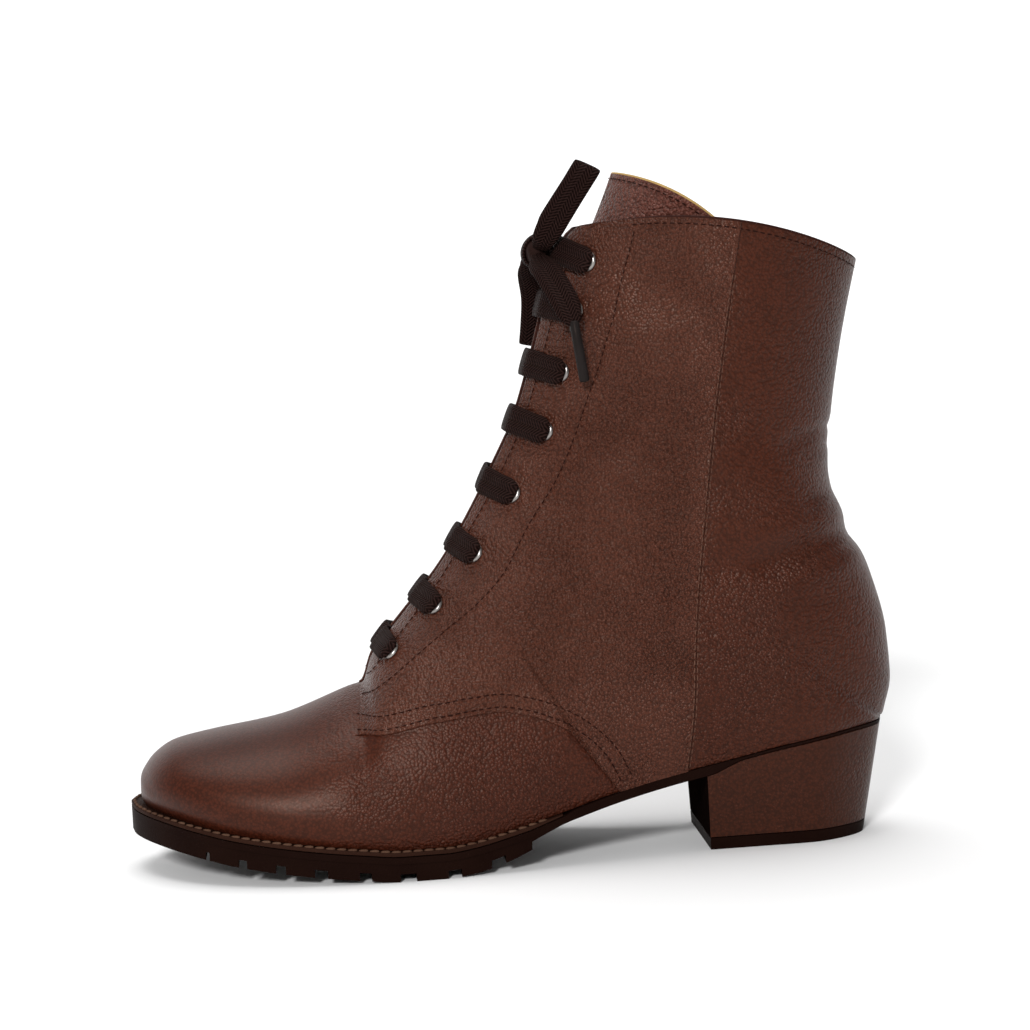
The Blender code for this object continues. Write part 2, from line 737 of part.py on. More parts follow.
def band(rows, side, name, start, end):
    """One band of points on one side, for the rows from start to end."""
    return [row[side][name] for row in rows[start:end + 1]]


def add_walls(surface, plain, raised, inner, side, front, throat):
    """The outer and inner faces of one side."""
    flip = side < 0
    last = len(plain) - 1
    surface.grid(band(plain, side, "low", 0, last), flip)
    surface.grid(band(plain, side, "high", 0, front), flip)
    surface.grid(band(raised, side, "high", front, last), flip)
    surface.grid(band(plain, side, "strip", 0, throat), flip)
    surface.grid(band(inner, side, "low", 0, last), not flip)
    surface.grid(band(inner, side, "high", 0, last), not flip)
    surface.grid(band(inner, side, "strip", 0, throat), not flip)


def add_edges(surface, plain, raised, inner, side, front, throat, feet_end):
    """The narrow faces of one side: the quarter's edges, the throat's rim and the lower edge."""
    flip = side < 0
    last = len(plain) - 1
    surface.grid([plain[front][side]["high"], raised[front][side]["high"]], flip)
    surface.grid([plain[throat][side]["strip"], inner[throat][side]["strip"]], flip)
    low = list(zip([row[side]["low"][-1] for row in plain], [row[side]["high"][0] for row in raised]))
    surface.grid(low[front:], flip)
    feet = list(zip([row[side]["low"][0] for row in inner], [row[side]["low"][0] for row in plain]))
    surface.grid(feet[:feet_end + 1], flip)
    edge = list(zip([row[side]["high"][-1] for row in raised], [row[side]["strip"][0] for row in plain]))
    surface.grid(edge[front:], flip)
    rim = list(zip([row[side]["strip"][0] for row in plain], [row[side]["strip"][0] for row in inner]))
    surface.grid(rim[throat:last + 1], flip)


def add_collar(surface, plain, raised, inner, side):
    """The collar's edge of one side, from the last row of each layer."""
    flip = side < 0
    below = plain[-1][side]
    above = raised[-1][side]["high"]
    within = inner[-1][side]
    surface.grid([below["low"], within["low"]], flip)
    surface.face([below["low"][-1], above[0], above[1], within["high"][1], within["high"][0]], flip)
    surface.grid([above[1:-1], within["high"][1:-1]], flip)
    front = [above[-2], above[-1], below["strip"][0], within["strip"][0], within["high"][-2]]
    surface.face(front, flip)


def upper_surface():
    """The hollow upper: vamp and rear panel at the last, quarters a step above them, and the lining side."""
    sections = mesh_rows()
    rows = base_rows(sections)
    normal_at = last_normals(rows)
    plain = moved_rows(rows, sections, normal_at, 0.0)
    raised = moved_rows(rows, sections, normal_at, PANEL_STEP)
    inner = moved_rows(rows, sections, normal_at, -UPPER_WALL)
    front = sections.index(float(FACING_FRONT))
    throat = sections.index(THROAT_START)
    feet_end = sections.index(float(HEEL_CORNER))
    surface = Surface()
    for side in (1, -1):
        add_walls(surface, plain, raised, inner, side, front, throat)
        add_edges(surface, plain, raised, inner, side, front, throat, feet_end)
        add_collar(surface, plain, raised, inner, side)
    return surface


def feather_loop(offset):
    """Plan points of the feather line moved outwards by what offset gives at a section.

    They run from the heel by the outer side to the toe and back by the inner one.
    """
    steps = np.round(np.arange(0, HEEL_CORNER + 0.05, 0.1), 3)
    sections = np.concatenate([steps[::-1], steps[1:]])
    sides = np.concatenate([np.ones(len(steps)), -np.ones(len(steps) - 1)])
    points = np.array([
        section_line(float(section), int(side))[0][0][:2] for section, side in zip(sections, sides)
    ])
    tangents = np.gradient(points, axis=0)
    normals = np.stack([-tangents[:, 1], tangents[:, 0]], axis=1)
    normals /= np.linalg.norm(normals, axis=1)[:, None]
    loop = points + normals * np.array([offset(section) for section in sections])[:, None]
    loop[0] = loop[-1] = (loop[0] + loop[-1]) / 2
    return loop


class Outline:
    """A plan outline as its two sides over x."""

    def __init__(self, loop):
        toe = int(np.argmax(loop[:, 0]))
        self.outer = loop[:toe + 1]
        self.inner = loop[toe:][::-1]
        self.front = float(loop[toe, 0])
        self.back = float(loop[0, 0])

    def half(self, x, side):
        """y of one side at x."""
        line = self.outer if side > 0 else self.inner
        return float(np.interp(x, line[:, 0], line[:, 1]))

    def stations(self, back, front, step, also=()):
        """x values from back to front, close together at a rounded end."""
        round_back = back <= self.back + FIT_GAP
        round_front = front >= self.front - FIT_GAP
        start = back + (HEEL_ROUND if round_back else 0)
        end = front - (TOE_ROUND if round_front else 0)
        turn = np.linspace(0, math.pi / 2, ROUND_STEPS + 1)
        count = max(1, round((end - start) / step))
        places = list(np.linspace(start, end, count + 1))
        if round_back:
            places += list(back + HEEL_ROUND * (1 - np.cos(turn[:-1])))
        if round_front:
            places += list(front - TOE_ROUND * (1 - np.cos(turn[:-1])))
        fixed = [back, front] + [x for x in also if back < x < front]
        near = STATION_CLEAR * step
        kept = [x for x in places if all(abs(x - other) > near for other in fixed)]
        turned_back = [x for x in places if FIT_GAP / 2 < x - back < HEEL_ROUND]
        turned_front = [x for x in places if FIT_GAP / 2 < front - x < TOE_ROUND]
        return sorted(set(kept + turned_back + turned_front + fixed))


@functools.lru_cache(maxsize=None)
def sole_outline():
    sections = column(LEDGE, LEDGE_COLUMNS, "section")
    ledge = column(LEDGE, LEDGE_COLUMNS, "ledge") * WELT_LEDGE
    return Outline(feather_loop(lambda section: float(smooth(sections, ledge, section))))


@functools.lru_cache(maxsize=None)
def insole_outline():
    return Outline(feather_loop(lambda section: -(UPPER_WALL + 3 * FIT_GAP)))


def plate_ring(outline, x, levels):
    """The ring of points round a plate at x. levels holds a step inwards and a height for each edge."""
    outer = outline.half(x, 1)
    inner = outline.half(x, -1)
    half = (outer - inner) / 2
    down = [(x, outer - min(step, half), z) for step, z in levels]
    up = [(x, inner + min(step, half), z) for step, z in reversed(levels)]
    return down + up


def ring_solid(rings, start_cap=False, end_cap=False):
    """A surface through rings of equally many points, closed at an end where a cap is asked for."""
    surface = Surface()
    surface.grid([list(ring) + [ring[0]] for ring in rings])
    if start_cap:
        surface.face(rings[0])
    if end_cap:
        surface.face(rings[-1], flip=True)
    return surface


def layer_share(x, name):
    places = column(LAYER, LAYER_COLUMNS, "x") * BOOT_LENGTH
    return float(smooth(places, column(LAYER, LAYER_COLUMNS, name), x))


def ground_depth(x):
    """Depth below the sole line of the outsole's underside between its lugs."""
    waist = layer_share(x, "waist") * (WAIST_THICKNESS - SEAT_THICKNESS)
    core = layer_share(x, "core") * (SOLE_THICKNESS - LUG_DEPTH - WAIST_THICKNESS)
    return SEAT_THICKNESS + waist + core


def midsole_depth(x):
    """Depth below the sole line of the midsole's underside, which is skived thin at its end."""
    skived = np.interp(x - MIDSOLE_END * BOOT_LENGTH, [0, SKIVE_LENGTH], [SKIVE_SHARE, 1])
    return FIT_GAP + MIDSOLE_THICKNESS * float(skived)


def outsole_top_depth(x):
    """Depth below the sole line of the outsole's top, which rises behind the midsole's end."""
    end = MIDSOLE_END * BOOT_LENGTH - FIT_GAP
    if x >= end:
        return midsole_depth(x) + FIT_GAP
    rise = np.clip((end - x) / SKIVE_LENGTH * SKIVE_STEPS, 0, 1)
    return FIT_GAP + (midsole_depth(end) * (1 - float(rise)))


def groove_places():
    """Front and back of each groove between the lugs, in metres."""
    fronts = column(GROOVES, GROOVE_COLUMNS, "front") * BOOT_LENGTH
    backs = column(GROOVES, GROOVE_COLUMNS, "back") * BOOT_LENGTH
    return list(zip(fronts, backs))


def outsole_ring(x, lug):
    """The ring round the outsole at x, with or without a lug underneath."""
    line = float(sole_line(x))
    top = line - outsole_top_depth(x)
    ground = line - ground_depth(x)
    share = layer_share(x, "core")
    step = max(line - SIDE_STEP_DROP, ground + LEAST_STEP_SHARE * (top - ground))
    tread = max(ground - LUG_DEPTH, 0.0) if lug else ground
    inset = SIDE_STEP * share
    levels = [(0.0, top), (0.0, step), (inset, step), (inset, ground), (inset, tread)]
    return plate_ring(sole_outline(), x, levels)


def outsole_rings():
    """Rings from the heel to the toe, two at each place where the underside steps up or down."""
    outline = sole_outline()
    tread_end = TREAD_END * BOOT_LENGTH
    grooves = groove_places()
    lug_starts = {tread_end} | {front for front, _ in grooves}
    groove_starts = {back for _, back in grooves}
    midsole_end = MIDSOLE_END * BOOT_LENGTH - FIT_GAP
    also = sorted(lug_starts | groove_starts) + [midsole_end, midsole_end - SKIVE_LENGTH / SKIVE_STEPS]
    rings = []
    lug = False
    for x in outline.stations(outline.back, outline.front, SOLE_STATION, also):
        rings.append(outsole_ring(x, lug))
        if x in lug_starts or x in groove_starts:
            lug = x in lug_starts
            rings.append(outsole_ring(x, lug))
    return rings


def make_outsole(finish, parent):
    return add_mesh("outsole", ring_solid(outsole_rings()), finish, parent, 30)


def make_midsole(finish, parent):
    outline = sole_outline()
    end = MIDSOLE_END * BOOT_LENGTH
    rings = []
    for x in outline.stations(end, outline.front, SOLE_STATION, [end + SKIVE_LENGTH]):
        line = float(sole_line(x))
        rings.append(plate_ring(outline, x, [(0.0, line - FIT_GAP), (0.0, line - midsole_depth(x))]))
    return add_mesh("midsole", ring_solid(rings, start_cap=True), finish, parent, 30)


def make_insole(finish, parent):
    outline = insole_outline()
    rings = []
    for x in outline.stations(outline.back, outline.front, SOLE_STATION):
        line = float(sole_line(x)) + FIT_GAP
        rings.append(plate_ring(outline, x, [(0.0, line + INSOLE_THICKNESS), (0.0, line)]))
    return add_mesh("insole", ring_solid(rings), finish, parent, 30)


def heel_point(x, side, z, seat_z):
    """A point of the heel's side, on the line from the seat's outline at x down to the floor."""
    outline = sole_outline()
    front = HEEL_BREAST * BOOT_LENGTH
    drop = 1 - z / seat_z
    rake = HEEL_BACK_RAKE / (front - outline.back)
    taper = HEEL_TAPER / outline.half(front, 1)
    lower_x = front + (x - front) * (1 - rake * drop) - HEEL_FRONT_LEAN * drop
    return (lower_x, outline.half(x, side) * (1 - taper * drop), z)


def heel_rings(level_heights):
    """Rings of the heel from its back to its breast, between heights given for a seat height."""
    outline = sole_outline()
    rings = []
    for x in outline.stations(outline.back, HEEL_BREAST * BOOT_LENGTH, HEEL_STATION):
        seat_z = float(sole_line(x)) - ground_depth(x) - FIT_GAP
        heights = level_heights(seat_z)
        down = [heel_point(x, 1, z, seat_z) for z in heights]
        up = [heel_point(x, -1, z, seat_z) for z in reversed(heights)]
        rings.append(down + up)
    return rings


def make_heel_block(finish, parent):
    foot = TOP_PIECE_THICKNESS + FIT_GAP
    rings = heel_rings(lambda seat_z: list(np.linspace(seat_z, foot, 4)))
    return add_mesh("heel_block", ring_solid(rings, end_cap=True), finish, parent, 40)


def make_top_piece(finish, parent):
    rings = heel_rings(lambda seat_z: [TOP_PIECE_THICKNESS, 0.0])
    return add_mesh("top_piece", ring_solid(rings, end_cap=True), finish, parent, 40)


def tongue_row(section, rise):
    """Points across the tongue's front side at a section, and their normals. rise lifts it on up."""
    places = column(TONGUE, TONGUE_COLUMNS, "section")
    half = float(smooth(places, column(TONGUE, TONGUE_COLUMNS, "half_width"), section)) * LAST_WIDTH
    sink = float(smooth(places, column(TONGUE, TONGUE_COLUMNS, "sink"), section)) * LAST_WIDTH
    inset = float(smooth(places, column(TONGUE, TONGUE_COLUMNS, "inset"), section)) * LAST_WIDTH
    up = throat_direction(section)
    points = []
    normals = []
    for share in np.linspace(-1, 1, TONGUE_COLUMN_COUNT + 1):
        depth = UPPER_WALL + TONGUE_GAP + sink + inset * share ** 2
        point, normal = above_last(section, float(share) * half, -depth)
        lift = rise * TONGUE_TOP_RISE * (1 - abs(share) ** TONGUE_PEAK)
        lean = np.array([TONGUE_LEAN * lift * rise, 0.0, 0.0])
        points.append(point + up * lift + lean)
        normals.append(normal)
    return np.array(points), np.array(normals)


def make_tongue(finish, parent):
    """The tongue runs from under the vamp to above the collar, highest in its middle."""
    shares = np.linspace(0, 1, TONGUE_ROWS) ** TONGUE_SPREAD
    places = [(TONGUE_START + (COLLAR - TONGUE_START) * float(share), 0.0) for share in shares]
    places += [(float(COLLAR), rise) for rise in TONGUE_RISES]
    front_rows = []
    back_rows = []
    for section, rise in places:
        points, normals = tongue_row(section, rise)
        front_rows.append(points)
        back_rows.append(points - normals * TONGUE_THICKNESS)
    surface = Surface()
    surface.grid(front_rows)
    surface.grid(back_rows, flip=True)
    for rows in ((front_rows[0], back_rows[0]), (back_rows[-1], front_rows[-1])):
        surface.grid(rows, flip=True)
    surface.grid([[front[0], back[0]] for front, back in zip(front_rows, back_rows)], flip=True)
    surface.grid([[front[-1], back[-1]] for front, back in zip(front_rows, back_rows)])
    return add_mesh("tongue", surface, finish, parent, 50)


def eyelet_sections():
    """The section of each eyelet pair along the throat."""
    sections = np.linspace(THROAT_START, COLLAR, 121)
    line = np.array([last_at(float(section), 0.0) for section in sections])
    lengths = np.concatenate([[0], np.cumsum(np.linalg.norm(np.diff(line, axis=0), axis=1))])
    way = lengths[-1] - LAST_EYELET_DISTANCE - FIRST_EYELET_DISTANCE
    wanted = FIRST_EYELET_DISTANCE + way * np.array(EYELET_PLACES)
    return [float(section) for section in np.interp(wanted, lengths, sections)]


def eyelet_reach(section):
    """Distance across from the ridge to the middle of an eyelet."""
    share = (section - THROAT_START) / (COLLAR - THROAT_START)
    return half_gap(section) + EYELET_INSET + EYELET_FLARE * share


def turned(section, side, profile):
    """Rings of a turned piece on an eyelet's axis. profile holds radius and height above the last."""
    across = side * eyelet_reach(section)
    middle, axis = straight_across(section, across, 0.0)
    first = unit(np.cross(axis, [0.0, 1.0, 0.0]))
    second = np.cross(axis, first)
    rings = []
    for i in range(RING_SIDES):
        angle = 2 * math.pi * i / RING_SIDES
        way = first * math.cos(angle) + second * math.sin(angle)
        rings.append([middle + way * radius + axis * height for radius, height in profile])
    return rings


def make_eyelet(name, section, side, finish, parent):
    """A flange on the facing and a barrel through it, in one piece."""
    low = PANEL_STEP + FIT_GAP
    top = low + EYELET_FLANGE
    foot = FIT_GAP - UPPER_WALL
    barrel = EYELET_BORE + EYELET_BARREL_WALL
    profile = [
        (EYELET_BORE, top),
        (EYELET_RADIUS, top),
        (EYELET_RADIUS, low),
        (barrel, low),
        (barrel, foot),
        (EYELET_BORE, foot),
    ]
    rings = turned(section, side, profile)
    return add_mesh(name, ring_solid(rings + rings[:1]), finish, parent, 40)


def cut_holes(upper, parent):
    """Cuts the eyelets' holes out of the upper with one joined cutter."""
    radius = EYELET_BORE + EYELET_BARREL_WALL + FIT_GAP
    surface = Surface()
    for section in eyelet_sections():
        for side in (1, -1):
            profile = [(0.0, HOLE_REACH), (radius, HOLE_REACH), (radius, -HOLE_REACH), (0.0, -HOLE_REACH)]
            rings = turned(section, side, profile)
            surface.grid(rings + rings[:1])
    cutter = add_mesh("cutter_eyelet_holes", surface, upper.data.materials[0], parent)
    cutter.hide_render = True
    cutter.display_type = "WIRE"
    holes = upper.modifiers.new("eyelet_holes", "BOOLEAN")
    holes.operation = "DIFFERENCE"
    holes.solver = "EXACT"
    holes.object = cutter


def lace_rings(points, widths, width_ways, first=None, last=None):
    """Rings of a flat lace along a path, with its width and the way its width points at each point.

    first and last turn an end square to a direction.
    """
    points = np.array(points)
    tangents = np.gradient(points, axis=0)
    if first is not None:
        tangents[0] = first
    if last is not None:
        tangents[-1] = last
    rings = []
    for point, tangent, width, way in zip(points, tangents, widths, width_ways):
        tangent = unit(tangent)
        wide = unit(way - tangent * np.dot(way, tangent))
        thick = np.cross(tangent, wide)
        half = width / 2
        flat = half - LACE_THICKNESS * LACE_EDGE
        deep = LACE_THICKNESS / 2
        corners = [(half, 0), (flat, deep), (-flat, deep), (-half, 0), (-flat, -deep), (flat, -deep)]
        rings.append([point + wide * a + thick * b for a, b in corners])
    return rings


def bar_path(section):
    """Middle line of the lace across the throat: places across from the ridge, heights and widths."""
    reach = eyelet_reach(section)
    gap = half_gap(section)
    low = PANEL_STEP + 2 * FIT_GAP + LACE_THICKNESS / 2
    high = PANEL_STEP + EYELET_FLANGE + BAR_CLEAR * FIT_GAP + LACE_THICKNESS / 2
    edge = reach - EYELET_RADIUS
    half = [
        (gap, low, BAR_WIDTHS[0]),
        ((gap + edge) / 2, low, BAR_WIDTHS[0]),
        (edge - BAR_RAMP * FIT_GAP, low, BAR_WIDTHS[1]),
        (edge - FIT_GAP, high, BAR_WIDTHS[2]),
        (reach + FIT_GAP, high, BAR_WIDTHS[3]),
        (reach + BAR_RAMP * FIT_GAP, high, BAR_WIDTHS[4]),
    ]
    other = [(-across, height, width) for across, height, width in reversed(half)]
    return other + [(0.0, low - BAR_SAG, BAR_WIDTHS[0])] + half


def make_bar(name, section, finish, parent):
    points = []
    widths = []
    ways = []
    for across, height, width in bar_path(section):
        point, _ = straight_across(section, across, height)
        points.append(point)
        widths.append(width * LACE_WIDTH)
        ways.append(throat_direction(section))
    rings = lace_rings(points, widths, ways)
    return add_mesh(name, ring_solid(rings, True, True), finish, parent, 50)


class BowFrame:
    """The middle of the knot in front of the top bar, with its forward, outward and up directions."""

    def __init__(self):
        section = eyelet_sections()[-1]
        bar_front = PANEL_STEP + 2 * FIT_GAP + LACE_THICKNESS - BAR_SAG
        middle, forward = straight_across(section, 0.0, bar_front + FIT_GAP + KNOT_DEPTH / 2)
        self.up = throat_direction(section)
        self.forward = forward
        self.out = unit(np.cross(self.up, self.forward))
        self.middle = middle - self.up * KNOT_DROP

    def place(self, forward, out, up):
        return self.middle + self.forward * forward + self.out * out + self.up * up

    def line(self, table):
        """Points and widths of a piece's middle line, with its bends rounded by a smooth curve."""
        rows = np.array(table) * LACE_WIDTH
        lengths = np.concatenate([[0], np.cumsum(np.linalg.norm(np.diff(rows[:, :3], axis=0), axis=1))])
        wanted = np.linspace(0, lengths[-1], BOW_STATIONS)
        forward, out, up, width = (smooth(lengths, rows[:, i], wanted) for i in range(4))
        points = [self.place(f, o, u) for f, o, u in zip(forward, out, up)]
        return points, width


def make_knot(frame, finish, parent):
    """A rounded block, longest across the throat."""
    rings = []
    for share in np.linspace(-1, 1, KNOT_RINGS):
        size = (1 - (KNOT_FULLNESS * abs(share)) ** 3) ** 0.6
        ring = []
        for i in range(KNOT_SIDES):
            angle = 2 * math.pi * i / KNOT_SIDES
            forward = KNOT_DEPTH / 2 * size * math.cos(angle)
            up = KNOT_HEIGHT / 2 * size * math.sin(angle)
            ring.append(frame.place(forward, KNOT_WIDTH / 2 * share, up))
        rings.append(ring)
    return add_mesh("lace_knot", ring_solid(rings, True, True), finish, parent, 50)


def make_bow_piece(name, frame, table, way, finish, parent):
    """A loop or a free end of the bow. An end at the knot is square to the knot's flat side."""
    points, widths = frame.line(table)
    direction = frame.forward * way[0] + frame.up * way[1]
    out_place = BOW_COLUMNS.index("out")
    outwards = frame.out * np.sign(table[0][out_place])
    is_loop = abs(table[-1][out_place]) < 1
    last = -outwards if is_loop else None
    rings = lace_rings(points, widths, [direction] * len(points), outwards, last)
    return add_mesh(name, ring_solid(rings, True, True), finish, parent, 50)


def make_aglet(name, frame, table, finish, parent):
    """The round tip on the end of the lace, straight on from where it ends."""
    points, _ = frame.line(table)
    way = unit(points[-1] - points[-2])
    way = unit(way + np.array([0.0, 0.0, -AGLET_HANG]))
    first = unit(np.cross(way, frame.forward))
    second = np.cross(way, first)
    start = points[-1] + unit(points[-1] - points[-2]) * 2 * FIT_GAP
    rings = []
    for along, radius in ((0.0, 0.85), (0.04, 1.0), (0.95, 1.0), (1.0, 0.75)):
        ring = []
        for i in range(RING_SIDES):
            angle = 2 * math.pi * i / RING_SIDES
            around = first * math.cos(angle) + second * math.sin(angle)
            ring.append(start + way * along * AGLET_LENGTH + around * radius * AGLET_RADIUS)
        rings.append(ring)
    return add_mesh(name, ring_solid(rings, True, True), finish, parent, 40)


def make_bow(lace, metal, parent):
    frame = BowFrame()
    make_knot(frame, material("lace_knot_cord", lace, 0.8), parent)
    pieces = (
        ("lace_loop_up", LOOP_UP, LOOP_UP_WAY),
        ("lace_loop_down", LOOP_DOWN, LOOP_DOWN_WAY),
        ("lace_tail_out", TAIL_OUT, TAIL_OUT_WAY),
        ("lace_tail_in", TAIL_IN, TAIL_IN_WAY),
    )
    for name, table, way in pieces:
        make_bow_piece(name, frame, table, way, material(name + "_cord", lace, 0.8), parent)
    make_aglet("aglet_out", frame, TAIL_OUT, material("aglet_out_metal", metal, 0.5), parent)
    make_aglet("aglet_in", frame, TAIL_IN, material("aglet_in_metal", metal, 0.5), parent)


def main():
    for old in list(bpy.data.objects):
        bpy.data.objects.remove(old)
    boot = bpy.data.objects.new("boot", None)
    bpy.context.scene.collection.objects.link(boot)
    leather = (0.10, 0.036, 0.021)
    rubber = (0.016, 0.012, 0.011)
    lace = (0.020, 0.013, 0.012)
    metal = (0.62, 0.60, 0.57)
    upper = add_mesh("upper", upper_surface(), material("brown_leather", leather, 0.42), boot, 35)
    cut_holes(upper, boot)
    make_outsole(material("sole_rubber", rubber, 0.6), boot)
    make_midsole(material("midsole_brown", (0.06, 0.045, 0.036), 0.6), boot)
    make_insole(material("insole_tan", (0.42, 0.29, 0.16), 0.7), boot)
    make_heel_block(material("heel_leather", leather, 0.45), boot)
    make_top_piece(material("top_piece_rubber", rubber, 0.6), boot)
    make_tongue(material("tongue_leather", leather, 0.45), boot)
    for number, section in enumerate(eyelet_sections(), 1):
        for side, hand in ((1, "out"), (-1, "in")):
            name = f"eyelet_{hand}_{number}"
            make_eyelet(name, section, side, material(name + "_metal", metal, 0.3, 1.0), boot)
        bar = f"lace_bar_{number}"
        make_bar(bar, section, material(bar + "_cord", lace, 0.8), boot)
    make_bow(lace, lace, boot)


main()
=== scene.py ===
"""Looks of the lace up ankle boot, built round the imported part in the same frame.

Lengths are metres. +X points to the toe, +Y to the outer side of the foot and +Z up. The shapes
come from the same last as the part, with finer steps.
"""

import functools
import math

import bmesh
import bpy
import numpy as np
from mathutils import Matrix, Vector
from mathutils.bvhtree import BVHTree


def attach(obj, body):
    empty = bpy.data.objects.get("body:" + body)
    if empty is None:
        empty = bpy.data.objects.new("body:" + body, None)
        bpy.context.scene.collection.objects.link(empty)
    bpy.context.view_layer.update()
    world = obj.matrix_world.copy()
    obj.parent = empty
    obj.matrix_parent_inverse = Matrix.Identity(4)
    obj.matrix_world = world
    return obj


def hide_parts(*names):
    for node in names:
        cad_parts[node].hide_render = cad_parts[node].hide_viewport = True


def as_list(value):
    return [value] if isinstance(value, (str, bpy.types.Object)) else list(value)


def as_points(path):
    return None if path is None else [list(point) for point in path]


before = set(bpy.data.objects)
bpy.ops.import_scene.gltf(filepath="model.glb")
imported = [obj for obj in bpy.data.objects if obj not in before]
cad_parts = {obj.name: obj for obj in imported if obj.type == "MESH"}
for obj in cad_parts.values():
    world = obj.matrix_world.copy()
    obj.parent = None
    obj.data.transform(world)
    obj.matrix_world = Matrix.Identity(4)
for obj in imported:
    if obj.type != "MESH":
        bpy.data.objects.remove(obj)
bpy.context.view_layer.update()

# Driving sizes of the last
BOOT_LENGTH = 0.279
LAST_WIDTH = 0.092
INSTEP_HEIGHT = 0.0512
SHAFT_HEIGHT = 0.165
# Driving sizes of the sole and heel
HEEL_HEIGHT = 0.0413
TOE_SPRING = 0.0139
SOLE_THICKNESS = 0.0107
LUG_DEPTH = 0.0028
SIDE_STEP = 0.0005
SIDE_STEP_DROP = 0.0044
MIDSOLE_THICKNESS = 0.0014
WELT_LEDGE = 0.0031
WAIST_THICKNESS = 0.0037
SEAT_THICKNESS = 0.0012
TOP_PIECE_THICKNESS = 0.0043
HEEL_TAPER = 0.0040
HEEL_BACK_RAKE = 0.0084
HEEL_FRONT_LEAN = 0.0008
# Driving sizes of the upper and what it holds
UPPER_WALL = 0.0020
PANEL_STEP = 0.0010
THROAT_GAP = 0.012
THROAT_FLARE = 0.004
INSOLE_THICKNESS = 0.0025
TONGUE_THICKNESS = 0.0022
TONGUE_TOP_RISE = 0.0265
TONGUE_GAP = 0.0009
FIT_GAP = 0.0003
# Driving sizes of the lacing
EYELET_RADIUS = 0.0037
EYELET_BORE = 0.0019
EYELET_BARREL_WALL = 0.0004
EYELET_INSET = 0.0133
EYELET_FLARE = 0.0033
FIRST_EYELET_DISTANCE = 0.0160
LAST_EYELET_DISTANCE = 0.0072
LACE_WIDTH = 0.0100
LACE_THICKNESS = 0.0016
BAR_SAG = 0.0028
KNOT_DEPTH = 0.0094
KNOT_WIDTH = 0.0150
KNOT_HEIGHT = 0.0110
KNOT_FULLNESS = 0.8
AGLET_LENGTH = 0.0205
AGLET_RADIUS = 0.0020
# Places along the fan of sections, counted in rows of the last's table
FACING_FRONT = 7
THROAT_START = 7.35
HEEL_CORNER = 17
COLLAR = 26
